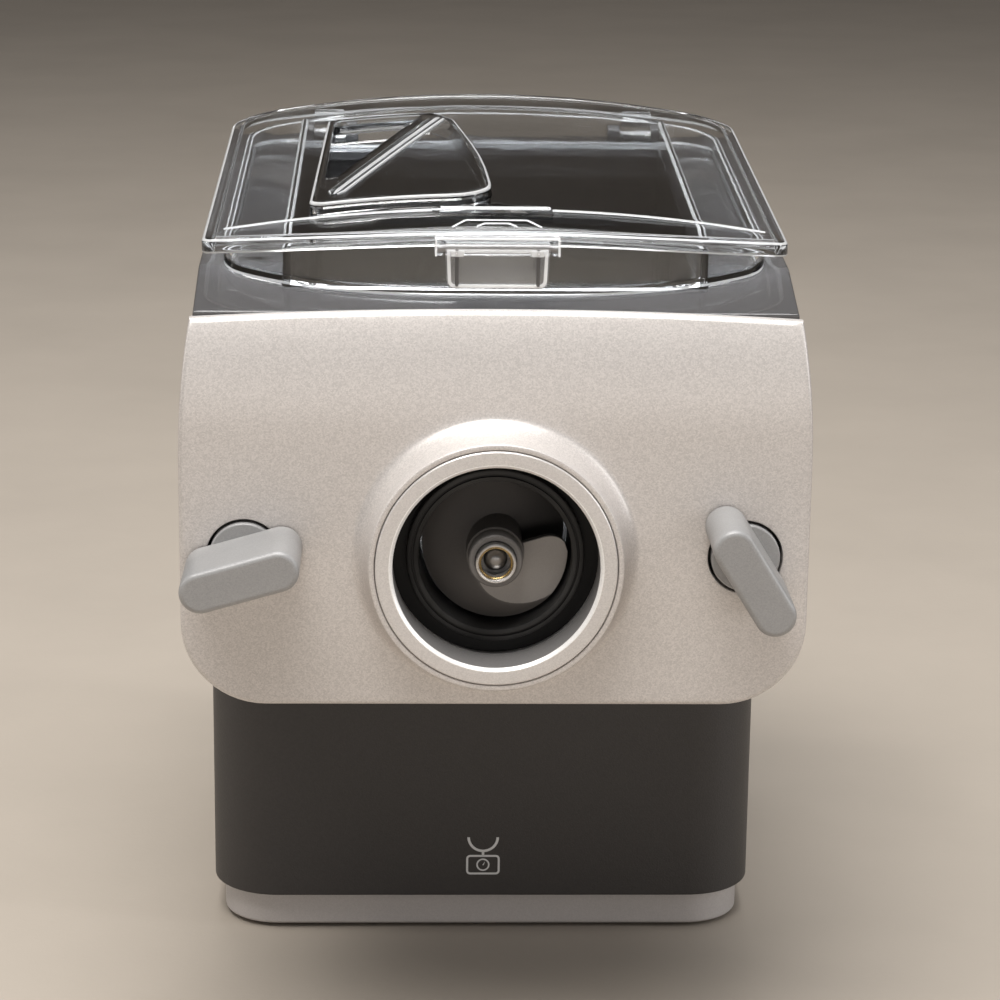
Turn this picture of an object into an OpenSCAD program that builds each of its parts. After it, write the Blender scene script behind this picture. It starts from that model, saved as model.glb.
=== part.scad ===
// Electric pasta maker: overhanging head with an extrusion mouth, a base with a
// storage drawer, a clear mixing chamber and a clear hinged lid.
// Millimetres. +Z is up, the front faces -Y, and the origin is on the table
// under the middle of the whole machine.

/* [Overall] */
// Width across the front panel
overall_w = 215; // [200:1:260]
// Depth from the lock grips to the rear face
overall_d = 349; // [326:1:420]
// Height of the head's underside above the table
head_z = 135; // [120:1:165]
// How far the base stands back behind the panel face
base_recess = 117; // [96:1:142]

/* [Front panel] */
// Height of the panel at its sides
panel_h = 134; // [128:1:162]
// How far the panel's top edge arches up in the middle
panel_arch = 3; // [0:0.5:6]
// Radius of the two lower corners
panel_corner_r = 29; // [12:1:36]
// Depth of the panel's edges
panel_depth = 22; // [20:1:27]
// How far the panel's top leans back
panel_lean = 10; // [4:1:14]
// How much each side draws in at the top
top_narrow = 3.9; // [0:0.1:5]
// Wall of the moulded casings
wall = 2.8; // [2:0.1:3.4]

/* [Extrusion mouth] */
// Height of the drive axis above the head's underside
axis_rise = 53.5; // [52:0.5:64]
// Inner radius of the collar ring
collar_bore_r = 35; // [33:0.5:42]
// Width of the collar ring's front face
collar_face_w = 6; // [4:0.5:8]
// How far the collar ring stands out of the panel
collar_out = 16; // [12:1:20]
// Width of the flared foot around the collar
flare_w = 10; // [6:1:14]
// Outer radius of the extrusion tube
tube_r = 30.5; // [28.5:0.5:32]
// Wall of the extrusion tube
tube_wall = 4.3; // [2.5:0.1:4.6]

/* [Lock grips] */
// Distance of each grip's axis from the panel's side
grip_inset = 22; // [21:1:25]
// Length of a grip
grip_l = 41; // [30:0.5:41.5]
// Width of a grip
grip_w = 14.2; // [10:0.1:16]
// How far the grips stand out of the panel
grip_reach = 33; // [24:1:36]
// Radius of the disc behind a grip
knob_r = 11.8; // [10:0.1:14.7]
// Tilt of the left grip from level
left_grip_angle = 16; // [0:1:90]
// Tilt of the right grip from level
right_grip_angle = -58; // [-90:1:0]

/* [Lid and chamber] */
// How far the lid's sides stand in from the panel's
lid_margin = 6.5; // [5.5:0.1:9]
// Height of the lid's front rim above the panel's side corners
lid_rise = 28; // [24:1:33]
// Slope of the lid up to the rear
lid_tilt = 3.95; // [2:0.05:4]
// Wall of the lid
lid_wall = 2.5; // [1.5:0.1:3]
// How far the chamber's inner sides stand in from the panel's
chamber_margin = 37.5; // [30:0.5:45]
// Radius of the chamber's rounded floor about the drive axis
trough_r = 46; // [40:1:48]
// Depth of the motor bay behind the lid
motor_bay_d = 78; // [74:1:92]

/* [Drive] */
// Radius of the drive shaft
shaft_r = 6; // [5:0.1:7]
// Radius of the motor case
motor_r = 30; // [24:1:33]
// Running gap between the auger and its tube
auger_gap = 1.2; // [0.8:0.1:2]
// Radius of the auger's hub
auger_hub_r = 9.8; // [9:0.1:12]

/* [Base] */
// Radius of the base's upright corners
base_corner_r = 26; // [12:1:30]
// Height of the pale plinth's top
plinth_h = 14.6; // [12:0.1:18]
// How far the plinth stands in from the base
plinth_inset = 4; // [2:0.5:6]
// Depth of the drawer's wrap-round front
drawer_front_d = 32; // [31:1:38]
// Height of the drawer's tray
tray_h = 66; // [50:1:79]
// Radius of the hole for the mains cord
cord_r = 3.7; // [3:0.1:4.5]

/* [Hidden] */
$fn = 72;

// Colours
silver = [0.78, 0.76, 0.74];
grip_grey = [0.62, 0.64, 0.66];
charcoal = [0.20, 0.185, 0.18];
smoke = [0.16, 0.16, 0.17];
clear = [0.82, 0.86, 0.9, 0.35];
pale_grey = [0.6, 0.61, 0.64];
black = [0.08, 0.08, 0.085];
steel = [0.72, 0.72, 0.73];
brass = [0.75, 0.6, 0.3];
board_green = [0.1, 0.35, 0.2];
rubber_black = [0.05, 0.05, 0.05];

// Clearances
seam = 0.3;
slide_gap = 0.5;
run_fit = 0.05;
press_gap = 0.02;
cut = 1;

// Main places, front to back
face_y = -overall_d / 2 + grip_reach;
rear_y = overall_d / 2;
rear_face_y = rear_y - 1.5;
rear_cover_y = rear_face_y - 19;
base_front_y = face_y + base_recess;
panel_back_y = face_y + panel_depth;
bulkhead_y = panel_back_y + seam;
bulkhead_t = 3;
tube_back_y = bulkhead_y + bulkhead_t + 10.7;
chamber_front_y = bulkhead_y + bulkhead_t + 4.7;
lid_front_y = face_y + 16;
lid_back_y = rear_y - motor_bay_d;
lid_len = (lid_back_y - lid_front_y) / cos(lid_tilt);
gear_front_y = lid_back_y - 9;
chamber_back_y = gear_front_y - 4;
deck_back_y = gear_front_y - 1.5;

// Main heights
axis_z = head_z + axis_rise;
panel_top = head_z + panel_h;
lid_front_z = panel_top + lid_rise;
body_w = overall_w - 2;
narrow_z = head_z + 0.63 * panel_h;
half_top = overall_w / 2 - top_narrow;
big = 2 * (overall_w + overall_d);

// Lid surfaces, which arch across the lid and run straight along it
lid_w = overall_w - 2 * lid_margin;
chamber_w = overall_w - 2 * chamber_margin;
rim_arch = 8;
rim_t = 4.5;
rim_w = 5;
crown_arch = 10.5;
crown_w = 3;
apron_tilt = 9.5;
front_bow = 18;
lid_corner_r = 18;

// Ledge between the panel's top edge and the chamber
ledge_front_y = face_y + panel_lean + 2;
ledge_back_y = face_y + 45;
ledge_front_z = panel_top + 1.5;
ledge_back_z = ledge_front_z + 0.3 * (ledge_back_y - ledge_front_y);
frame_back_y = lid_back_y + 11;
frame_back_z = ledge_back_z + tan(lid_tilt) * (frame_back_y - ledge_back_y);
frame_t = 3;

// Outer radius of the collar ring
collar_r = collar_bore_r + collar_face_w;

// Lock: its stem, the bush around it and the boss around that
stem_r = 5;
knob_hole_r = knob_r + 1;
bush_r = knob_r + 2.3;
knob_boss_r = bush_r + 2.5;
lock_hole_r = knob_r + 0.3;
cam_r = lock_hole_r - 1.5;
cam_w = 7;
cam_t = 3;
knob_x = overall_w / 2 - grip_inset;

// Lid hinge and latch
hinge_y = lid_back_y + 3;
hinge_z = frame_back_z + 2;
hinge_r = 4.3;
hinge_pin_r = 2;
hinge_x = 62;
hinge_w = 12;
ear_w = 5;
latch_y = lid_front_y - 2.9;
latch_z = lid_front_z - 4.5;
latch_pin_r = 1.2;
latch_barrel_r = 2.6;
latch_w = 35.4;
latch_drop = 14;

// Auger and bearings
auger_r = tube_r - tube_wall - auger_gap;
auger_front_y = face_y - 6;
bearing_r = shaft_r + 7;
seal_r = shaft_r + 6;

// Sleeve in the auger's nose: free end, seat in the hub, and bore
tip_r = 7;
tip_free_l = 2.9;
tip_seat_r = 6.4;
tip_seat_l = 6;
tip_bore_r = 4.8;
tip_gap = 0.1;

// Gears: modules, tooth counts and the shafts below the drive axis
high_module = 1.25;
low_module = 1.5;
pinion_teeth = 16;
idler_big_teeth = 56;
idler_small_teeth = 18;
output_teeth = 50;
pressure_angle = 20;
backlash = 0.25;
low_distance = low_module * (idler_small_teeth + output_teeth) / 2;
high_distance = high_module * (pinion_teeth + idler_big_teeth) / 2;
idler_z = axis_z - low_distance;
motor_z = idler_z - high_distance;
plate_t = 2.5;
low_gear_y = gear_front_y + plate_t + 2;
low_gear_t = 9;
high_gear_y = low_gear_y + low_gear_t + 2.5;
high_gear_t = 5.5;
gear_rear_y = high_gear_y + high_gear_t + 2;
motor_y = gear_rear_y + plate_t + seam;
motor_l = rear_cover_y - 2 - motor_y;
fan_y = motor_y + motor_l + 3;
axle_r = 3;
plate_half_w = 46;
post_r = 4;

// Rear casings: where the cap begins, and the screws that hold the cover
cap_seam_z = panel_top + 8;
cap_arch = 6;
cap_side_z = frame_back_z - 5;
cap_back_z = frame_back_z - 8;
screw_x = body_w / 2 - base_corner_r;
upper_screw_z = cap_seam_z - 26;

// Base
base_plate_z = plinth_h + 0.8;
base_plate_t = 2.6;
floor_z = base_plate_z + base_plate_t;
base_bottom_z = plinth_h + 0.6;
base_top_z = head_z - seam;
lower_screw_z = floor_z + 14;
runner_h = 5.5;
tray_z = floor_z + runner_h + seam;
tray_wall = 2.2;
tray_half_w = body_w / 2 - 13;
tray_front_y = base_front_y + 3;
tray_back_y = gear_front_y - 7;
mouth_y = base_front_y + drawer_front_d + seam;
foot_r = 9;
foot_h = 1.5;
foot_x = overall_w / 2 - 28;

// Control panel on the right side
panel_side_x = body_w / 2;
bezel_w = 92;
bezel_h = 56;
bezel_t = 3;
bezel_y = rear_cover_y - bezel_w / 2 - 6;
bezel_z = head_z + 48;
button_r = 6;
button_y = [-30, -10, 10, 30];
button_z = -16;
window_w = 52;
window_h = 24;

// ---------- helpers ----------

// Solid of an outline drawn in X and Z, from y0 back to y1
module along_y(y0, y1) {
    translate([0, y1, 0])
        rotate([90, 0, 0])
            linear_extrude(height = y1 - y0)
                children();
}

// Solid of an outline drawn in Y and Z, from x0 to x1
module along_x(x0, x1) {
    translate([x0, 0, 0])
        rotate([90, 0, 90])
            linear_extrude(height = x1 - x0)
                children();
}

// Round bar along Y about the local origin
module bar_y(r, y0, y1) {
    translate([0, y0, 0])
        rotate([-90, 0, 0])
            cylinder(r = r, h = y1 - y0);
}

// Round bar along X about the local origin
module bar_x(r, x0, x1) {
    translate([x0, 0, 0])
        rotate([0, 90, 0])
            cylinder(r = r, h = x1 - x0);
}

// Ring along Y about the local origin
module ring_y(r_out, r_in, y0, y1) {
    difference() {
        bar_y(r_out, y0, y1);
        bar_y(r_in, y0 - cut, y1 + cut);
    }
}

module at_axis(x = 0, z = axis_z) {
    translate([x, 0, z])
        children();
}

// Rectangle from x0 to x1 and y0 to y1 with round corners
module round_rect(x0, x1, y0, y1, r) {
    for (x = [x0 + r, x1 - r])
        for (y = [y0 + r, y1 - r])
            translate([x, y])
                circle(r = r);
    translate([x0 + r, y0])
        square([x1 - x0 - 2 * r, y1 - y0]);
    translate([x0, y0 + r])
        square([x1 - x0, y1 - y0 - 2 * r]);
}

// Half width of the head at height z: upright, then drawing in towards the top
function side_x(z, inset) =
    overall_w / 2 - inset
    - top_narrow * pow(min(1, max(0, (z - narrow_z) / (panel_top - narrow_z))), 2);

// Front outline of the head, with its rounded lower corners
module head_outline(inset, top, arch) {
    half = overall_w / 2 - inset;
    r = panel_corner_r - inset;
    low = head_z + inset;
    steps = 8;
    side = [for (i = [0 : steps])
        let (z = narrow_z + (panel_top - inset - narrow_z) * i / steps)
        [side_x(z, inset), z]];
    top_half = side[steps][0];
    arc = [for (i = [0 : 2 * steps])
        let (x = top_half * (1 - i / steps))
        [x, top + arch * (1 - pow(x / top_half, 2))]];
    for (s = [-1, 1])
        translate([s * (half - r), low + r])
            circle(r = r);
    translate([-(half - r), low])
        square([2 * (half - r), r + cut]);
    polygon(concat(
        [[half, low + r]], side, arc,
        [for (i = [steps : -1 : 0]) [-side[i][0], side[i][1]]],
        [[-half, low + r]]));
}

// Side profile of the panel: upright, then leaning back to its top edge
module panel_profile(inset) {
    steps = 10;
    lean_z = panel_top - 38;
    high = panel_top + panel_arch;
    front = [for (i = [0 : steps])
        let (t = i / steps)
        [face_y + inset + panel_lean * pow(t, 2.2), lean_z + (high + cut - lean_z) * t]];
    polygon(concat(
        [[face_y + inset, head_z - cut]], front,
        [[panel_back_y + big, high + cut], [panel_back_y + big, head_z - cut]]));
}

module panel_form(inset, back_y) {
    intersection() {
        along_y(face_y - cut, back_y)
            head_outline(inset, panel_top - inset, panel_arch);
        along_x(-overall_w, overall_w)
            panel_profile(inset);
    }
}

// Everything below the ledge and frame surface moved up by lift
module under_frame(lift) {
    along_x(-overall_w, overall_w)
        polygon([[face_y - big, 0], [face_y - big, ledge_front_z + lift],
                 [ledge_front_y, ledge_front_z + lift],
                 [ledge_back_y, ledge_back_z + lift],
                 [frame_back_y, frame_back_z + lift],
                 [rear_y + big, frame_back_z + lift], [rear_y + big, 0]]);
}

// Plan of the body behind base_front_y, with round upright corners
module body_plan(inset, front_y) {
    round_rect(-body_w / 2 + inset, body_w / 2 - inset,
               front_y + inset, rear_face_y - inset, base_corner_r - inset);
}

// Upright walls of the body, to the head's side curve
module body_section(inset, low, high) {
    intersection() {
        translate([0, 0, low])
            linear_extrude(height = high - low)
                body_plan(inset, face_y - base_corner_r);
        along_y(face_y - big, rear_y + big)
            union() {
                head_outline(inset + (overall_w - body_w) / 2, high + cut, 0);
                translate([-body_w / 2 + inset, low - cut])
                    square([body_w - 2 * inset, narrow_z - low + cut]);
            }
    }
}

// ---------- front panel ----------

// Flared foot of the collar: the radius falls as the flare rises
module collar_flare() {
    steps = 12;
    curve = [for (i = [0 : steps])
        let (t = i / steps)
        [collar_r + 2.2 + flare_w * pow(1 - t, 2.4), collar_out * (0.04 + 0.92 * t)]];
    at_axis()
        translate([0, face_y, 0])
            rotate([90, 0, 0])
                rotate_extrude()
                    polygon(concat(
                        [[collar_r + seam, -panel_depth / 2]],
                        [[collar_r + 4, -panel_depth / 2]],
                        [[collar_r + 4, -wall / 2]],
                        [[collar_r + 2.2 + flare_w, -wall / 2]],
                        curve,
                        [[collar_r + seam, collar_out * 0.96]]));
}

module front_panel() {
    color(silver)
        difference() {
            union() {
                difference() {
                    panel_form(0, panel_back_y);
                    panel_form(wall, panel_back_y + cut);
                }
                collar_flare();
                for (s = [-1, 1])
                    at_axis(s * knob_x)
                        bar_y(knob_boss_r, face_y + wall - cut, panel_back_y - 2);
            }
            at_axis()
                bar_y(collar_r + seam, face_y - collar_out - cut, face_y + panel_depth / 2);
            // rebate in the top edge, where the smoky frame lies on it
            translate([-overall_w, ledge_front_y, ledge_front_z - frame_t - seam])
                cube([2 * overall_w, big, big]);
            for (s = [-1, 1])
                at_axis(s * knob_x) {
                    bar_y(knob_hole_r, face_y - cut, face_y + 8);
                    bar_y(bush_r + press_gap, face_y + 7, panel_back_y);
                }
        }
}

// Ring that lines the mouth; its inner edge carries a small chamfer
module collar_ring() {
    r = collar_bore_r;
    chamfer = 0.8;
    color(silver)
        at_axis()
            translate([0, face_y, 0])
                rotate([90, 0, 0])
                    rotate_extrude()
                        polygon([[r, collar_out - chamfer], [r + chamfer, collar_out],
                                 [collar_r - 0.4, collar_out], [collar_r, collar_out - 0.4],
                                 [collar_r, -6], [r + 1, -6], [r + 1, 0.5], [r, 0.5]]);
}

module extrusion_tube() {
    flange_y = face_y + 6 + seam;
    color(black)
        at_axis()
            difference() {
                union() {
                    bar_y(tube_r, face_y + 0.5, tube_back_y);
                    bar_y(collar_r - 0.2, flange_y, flange_y + 3.5);
                }
                bar_y(tube_r - tube_wall, face_y - cut, tube_back_y + cut);
            }
}

module knob_bushes() {
    color(black)
        for (s = [-1, 1])
            at_axis(s * knob_x)
                ring_y(bush_r, stem_r + run_fit, face_y + 8 + seam, panel_back_y - 2);
}

// Grip, disc and stem of one lock, turned by angle
module lock_grip(angle) {
    span = grip_l - grip_w;
    rotate([0, -angle, 0]) {
        along_y(face_y - grip_reach, face_y - 1.5) {
            for (s = [-1, 1])
                translate([s * span / 2, 0])
                    circle(r = grip_w / 2);
            square([span, grip_w], center = true);
        }
        bar_y(knob_r, face_y - 1.5, face_y + 6.5);
        bar_y(stem_r, face_y + 6.5, bulkhead_y - seam);
    }
}

// Bayonet bar in the bulkhead, with a hub that reaches the end of a grip's stem
module lock_cam(angle) {
    rotate([0, -angle, 0]) {
        translate([0, bulkhead_y + seam, 0])
            intersection() {
                translate([-cam_r, 0, -cam_w / 2])
                    cube([2 * cam_r, cam_t, cam_w]);
                bar_y(cam_r, 0, cam_t);
            }
        bar_y(stem_r - 1, bulkhead_y - seam + press_gap, bulkhead_y + seam + cut);
    }
}

module left_grip() {
    color(grip_grey)
        at_axis(-knob_x)
            lock_grip(left_grip_angle);
}

module right_grip() {
    color(grip_grey)
        at_axis(knob_x)
            lock_grip(right_grip_angle);
}

module left_cam() {
    color(steel)
        at_axis(-knob_x)
            lock_cam(left_grip_angle);
}

module right_cam() {
    color(steel)
        at_axis(knob_x)
            lock_cam(right_grip_angle);
}

// ---------- lid ----------

// The lid's own frame: x across, y up its slope, z out of its rim
module lid_frame() {
    translate([0, lid_front_y, lid_front_z])
        rotate([lid_tilt, 0, 0])
            children();
}

// Plan of the lid: round rear corners and a front that bows forward by a cubic
module lid_plan(inset) {
    half = lid_w / 2 - inset;
    steps = 10;
    bow = [for (i = [-steps : steps])
        let (t = i / steps)
        [half * t, inset + front_bow * pow(abs(t), 3)]];
    mid_v = lid_len - lid_corner_r - 2;
    polygon(concat(bow, [[half, mid_v], [-half, mid_v]]));
    round_rect(-half, half, lid_len / 2, lid_len - inset, lid_corner_r - inset);
}

// Space under a surface that falls by drop at the lid's sides, its top at height w
module arch_under(drop, w) {
    steps = 9;
    half = lid_w / 2 + 8;
    along_y(-lid_len / 4, lid_len * 1.3)
        polygon(concat(
            [for (i = [-steps : steps])
                let (x = half * i / steps)
                [x, w - drop * pow(2 * x / lid_w, 2)]],
            [[half, -lid_len], [-half, -lid_len]]));
}

module lid_column(inset) {
    translate([0, 0, -60])
        linear_extrude(height = 100)
            lid_plan(inset);
}

module lid_form(inset) {
    intersection() {
        lid_column(inset);
        arch_under(crown_arch, crown_w - inset);
        rotate([apron_tilt, 0, 0])
            arch_under(rim_arch, -inset);
    }
}

// Outline of the inlet's raised cover, in the lid's own frame
module inlet_outline(inset) {
    front = lid_len * 0.117;
    back = lid_len * 0.768;
    left = -lid_w / 2 + 33.2;
    polygon([[left + 4 + inset, front + inset], [-6 - inset, front + inset],
             [1 - inset, front + 7 + inset], [1 - inset, front + 46], [-3 - inset, front + 84],
             [-9 - inset, back - 17], [-13 - inset, back - 5 - inset], [-19 - inset, back - inset],
             [left + 6 + inset, back - inset], [left + 3 + inset, back - 3 - inset],
             [left + inset, front + 60], [left + inset, front + 4 + inset]]);
}

module inlet_column(inset) {
    translate([0, 0, -40])
        linear_extrude(height = 80)
            inlet_outline(inset);
}

// Opening through which liquid is poured: the left rear half of the cover
module inlet_mouth() {
    front = lid_len * 0.117;
    back = lid_len * 0.768;
    left = -lid_w / 2 + 33.2;
    polygon([[left + 6, front + 24], [-24, back - 7], [left + 9, back - 7]]);
}

module lid() {
    color(clear) {
        difference() {
            union() {
                lid_frame()
                    difference() {
                        lid_form(0);
                        difference() {
                            lid_form(lid_wall);
                            arch_under(rim_arch, 0);
                        }
                        intersection() {
                            lid_form(lid_wall);
                            lid_column(rim_w);
                        }
                        arch_under(rim_arch, -rim_t);
                        translate([0, 0, -30])
                            linear_extrude(height = 60)
                                inlet_outline(3);
                    }
                // hinge arms behind the rim
                for (s = [-1, 1])
                    translate([s * hinge_x, 0, 0]) {
                        translate([-hinge_w / 2, lid_back_y - 4, hinge_z - hinge_r + 1])
                            cube([hinge_w, 4, hinge_r + 8]);
                        translate([0, hinge_y, hinge_z])
                            bar_x(hinge_r, -hinge_w / 2, hinge_w / 2);
                    }
                // ears that carry the latch
                for (s = [-1, 1])
                    translate([s * (latch_w / 2 + 2), latch_y, latch_z]) {
                        bar_x(latch_barrel_r, -1.5, 1.5);
                        translate([-1.5, 0, -latch_barrel_r])
                            cube([3, 5.5, 2 * latch_barrel_r + 1.2]);
                    }
            }
            for (s = [-1, 1])
                translate([s * hinge_x, hinge_y, hinge_z])
                    bar_x(hinge_pin_r + run_fit, -hinge_w, hinge_w);
            translate([0, latch_y, latch_z])
                bar_x(latch_pin_r + press_gap, -latch_w, latch_w);
        }
    }
}

// Raised cover of the liquid inlet with its pouring mouth
module liquid_inlet() {
    lift = 3.9;
    sheet = 2;
    color(clear)
        lid_frame()
            difference() {
                intersection() {
                    inlet_column(3 + seam);
                    arch_under(crown_arch, crown_w + lift);
                }
                intersection() {
                    inlet_column(3 + seam + sheet);
                    arch_under(crown_arch, crown_w + lift - sheet);
                }
                arch_under(crown_arch, crown_w - lid_wall);
                translate([0, 0, -30])
                    linear_extrude(height = 60)
                        inlet_mouth();
            }
}

module lid_hinge_pins() {
    reach = hinge_w / 2 + seam + ear_w;
    color(steel)
        for (s = [-1, 1])
            translate([s * hinge_x, hinge_y, hinge_z])
                bar_x(hinge_pin_r, -reach, reach);
}

// Hanging clip at the front of the lid
module lid_latch() {
    tab_t = 2.4;
    color(clear)
        translate([0, latch_y, latch_z])
            difference() {
                union() {
                    bar_x(latch_barrel_r, -latch_w / 2, latch_w / 2);
                    along_y(-tab_t / 2, tab_t / 2)
                        round_rect(-latch_w / 2, latch_w / 2, -latch_drop, 1.5, 1.4);
                    for (s = [-1, 1])
                        translate([s * (latch_w / 2 - 4) - 0.6, -tab_t / 2 - 0.8, -latch_drop + 1])
                            cube([1.2, 1.5, latch_drop - 1]);
                    translate([-latch_w / 2 + 2, 0, -latch_drop])
                        cube([latch_w - 4, 2.6, 1.6]);
                }
                bar_x(latch_pin_r + run_fit, -latch_w, latch_w);
            }
}

module latch_pin() {
    color(steel)
        translate([0, latch_y, latch_z])
            bar_x(latch_pin_r, -latch_w / 2 - 3.5, latch_w / 2 + 3.5);
}

// ---------- chamber and top frame ----------

// Cross-section of the chamber: round floor, flared flanks and upright walls
module chamber_section(grow, top) {
    half = chamber_w / 2 + grow;
    r = trough_r + grow;
    flank_z = axis_z + 44;
    translate([0, axis_z])
        circle(r = r);
    polygon([[-r, axis_z], [r, axis_z], [half, flank_z], [half, top], [-half, top], [-half, flank_z]]);
}

module chamber_box(grow, y0, y1) {
    along_y(y0, y1)
        chamber_section(grow, lid_front_z + 40);
}

// Space below the lid's inner surface
module under_lid(drop) {
    lid_frame()
        arch_under(crown_arch, crown_w - lid_wall - drop);
}

module mixing_chamber() {
    rim_inset = 7;
    upstand = 2.5;
    color(clear)
        difference() {
            union() {
                // the box, up to just under the lid and inside its rim
                intersection() {
                    difference() {
                        chamber_box(wall, chamber_front_y, chamber_back_y);
                        difference() {
                            lid_frame()
                                arch_under(0, 40);
                            under_frame(seam + upstand);
                            lid_frame()
                                lid_column(rim_w + slide_gap);
                        }
                    }
                    under_lid(2);
                    lid_frame()
                        rotate([apron_tilt, 0, 0])
                            arch_under(rim_arch, -lid_wall - 2);
                }
                // tray floor over the frame, and the upright wall around it
                difference() {
                    intersection() {
                        lid_frame()
                            lid_column(rim_inset);
                        lid_frame()
                            arch_under(rim_arch, -rim_t - 0.5);
                    }
                    under_frame(seam);
                    difference() {
                        lid_frame()
                            lid_column(rim_inset + upstand);
                        under_frame(seam + upstand);
                    }
                }
            }
            chamber_box(0, chamber_front_y + wall, chamber_back_y - wall);
            // port for the extrusion tube and hole for the shaft seal
            at_axis() {
                bar_y(tube_r + slide_gap, chamber_front_y - cut, chamber_front_y + wall + cut);
                bar_y(seal_r, chamber_back_y - wall - cut, chamber_back_y + cut);
            }
        }
}

module shaft_seal() {
    color(rubber_black)
        at_axis()
            ring_y(seal_r - press_gap, shaft_r + seam, chamber_back_y - wall - 0.5, chamber_back_y + 1);
}

// Smoky frame around the chamber; its front is the ledge over the panel
module top_frame() {
    color(smoke)
        difference() {
            union() {
                intersection() {
                    difference() {
                        under_frame(0);
                        under_frame(-frame_t);
                    }
                    body_section(0, panel_top - 20, frame_back_z + 10);
                    translate([-overall_w, ledge_front_y + seam, 0])
                        cube([2 * overall_w, frame_back_y - ledge_front_y - seam, 2 * lid_front_z]);
                }
                // ears that hold the hinge pins
                for (s = [-1, 1])
                    for (side = [-1, 1])
                        translate([s * hinge_x + side * (hinge_w / 2 + seam + ear_w / 2), 0, 0]) {
                            translate([0, hinge_y, hinge_z])
                                bar_x(hinge_r, -ear_w / 2, ear_w / 2);
                            translate([-ear_w / 2, hinge_y - hinge_r, hinge_z - 6])
                                cube([ear_w, 2 * hinge_r, 6]);
                        }
            }
            // opening for the chamber's box
            translate([-chamber_w / 2 - wall - slide_gap, chamber_front_y - slide_gap, 0])
                cube([chamber_w + 2 * wall + 2 * slide_gap,
                      chamber_back_y - chamber_front_y + 2 * slide_gap, 2 * lid_front_z]);
            for (s = [-1, 1])
                translate([s * hinge_x, 0, 0]) {
                    translate([0, hinge_y, hinge_z])
                        bar_x(hinge_pin_r + press_gap, -hinge_w - ear_w, hinge_w + ear_w);
                    translate([-hinge_w / 2 - seam, lid_back_y - 8, hinge_z - hinge_r - 1.5])
                        cube([hinge_w + 2 * seam, 20, 20]);
                }
        }
}

// ---------- head and body casings ----------

// Boss for a cover screw, on a web from the side wall; s is the side
module cover_boss(z, s) {
    reach = body_w / 2 - wall + 0.4 - screw_x;
    translate([s * screw_x, 0, z])
        bar_y(4.5, rear_cover_y - 14, rear_cover_y - seam);
    translate([s > 0 ? screw_x : -screw_x - reach, rear_cover_y - 14, z - 1.5])
        cube([reach, 13, 3]);
}

module boss_holes(z) {
    for (s = [-1, 1])
        translate([s * screw_x, 0, z])
            bar_y(1.8, rear_cover_y - 13, rear_cover_y + cut);
}

module head_housing() {
    hollow_top = 2 * lid_front_z;
    color(charcoal)
        difference() {
            union() {
                difference() {
                    intersection() {
                        body_section(0, head_z, frame_back_z + 10);
                        under_frame(-frame_t - seam);
                        union() {
                            translate([-overall_w, bulkhead_y, 0])
                                cube([2 * overall_w, frame_back_y - bulkhead_y, hollow_top]);
                            translate([-overall_w, bulkhead_y, 0])
                                cube([2 * overall_w, rear_cover_y - bulkhead_y - seam, cap_seam_z]);
                        }
                        // the overhang has round lower corners, the body behind has not
                        union() {
                            along_y(bulkhead_y - cut, base_front_y + wall)
                                head_outline((overall_w - body_w) / 2, hollow_top, 0);
                            translate([-overall_w, base_front_y, 0])
                                cube([2 * overall_w, big, hollow_top]);
                        }
                    }
                    intersection() {
                        along_y(bulkhead_y + bulkhead_t, base_front_y + wall)
                            head_outline((overall_w - body_w) / 2 + wall, hollow_top, 0);
                        body_section(wall, head_z, hollow_top);
                    }
                    intersection() {
                        translate([-overall_w, base_front_y, head_z + wall])
                            cube([2 * overall_w, big, hollow_top]);
                        body_section(wall, head_z, hollow_top);
                        translate([-overall_w, base_front_y, 0])
                            cube([2 * overall_w, deck_back_y - base_front_y + cut, hollow_top]);
                    }
                    intersection() {
                        translate([-overall_w, deck_back_y, 0])
                            cube([2 * overall_w, big, hollow_top]);
                        body_section(wall, head_z - cut, hollow_top);
                    }
                }
                for (s = [-1, 1])
                    cover_boss(upper_screw_z, s);
            }
            boss_holes(upper_screw_z);
            // mouth for the extrusion tube and the two lock holes
            at_axis()
                bar_y(tube_r + 3, bulkhead_y - cut, bulkhead_y + bulkhead_t + cut);
            for (s = [-1, 1])
                at_axis(s * knob_x)
                    bar_y(lock_hole_r, bulkhead_y - cut, bulkhead_y + bulkhead_t + cut);
            // room for the chamber's rounded floor
            chamber_box(wall + slide_gap, bulkhead_y + bulkhead_t, chamber_back_y + slide_gap);
            // seat for the control bezel
            translate([panel_side_x - wall - 5, bezel_y - bezel_w / 2 - seam, bezel_z - bezel_h / 2 - seam])
                cube([wall + 10, bezel_w + 2 * seam, bezel_h + 2 * seam]);
        }
}

// Side profile of the rear cap: level with the frame, then falling to the rear
module cap_profile(inset) {
    y0 = frame_back_y + seam + inset;
    y1 = rear_face_y - inset;
    polygon([[y0, head_z], [y0, frame_back_z - 0.5 - inset], [rear_cover_y, cap_back_z - inset],
             [y1 - 6, cap_back_z - 2.5 - inset], [y1, cap_back_z - 9 - inset / 2], [y1, head_z]]);
}

module cap_form(inset) {
    intersection() {
        along_x(-overall_w, overall_w)
            cap_profile(inset);
        along_y(face_y, rear_y)
            head_outline(inset + (overall_w - body_w) / 2, cap_side_z - inset, cap_arch);
        translate([0, 0, head_z])
            linear_extrude(height = big)
                body_plan(inset, face_y - base_corner_r);
    }
}

module rear_cap() {
    color(charcoal)
        difference() {
            cap_form(0);
            cap_form(wall);
            translate([-overall_w, face_y, -big + cap_seam_z + seam])
                cube([2 * overall_w, big, big]);
        }
}

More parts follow.
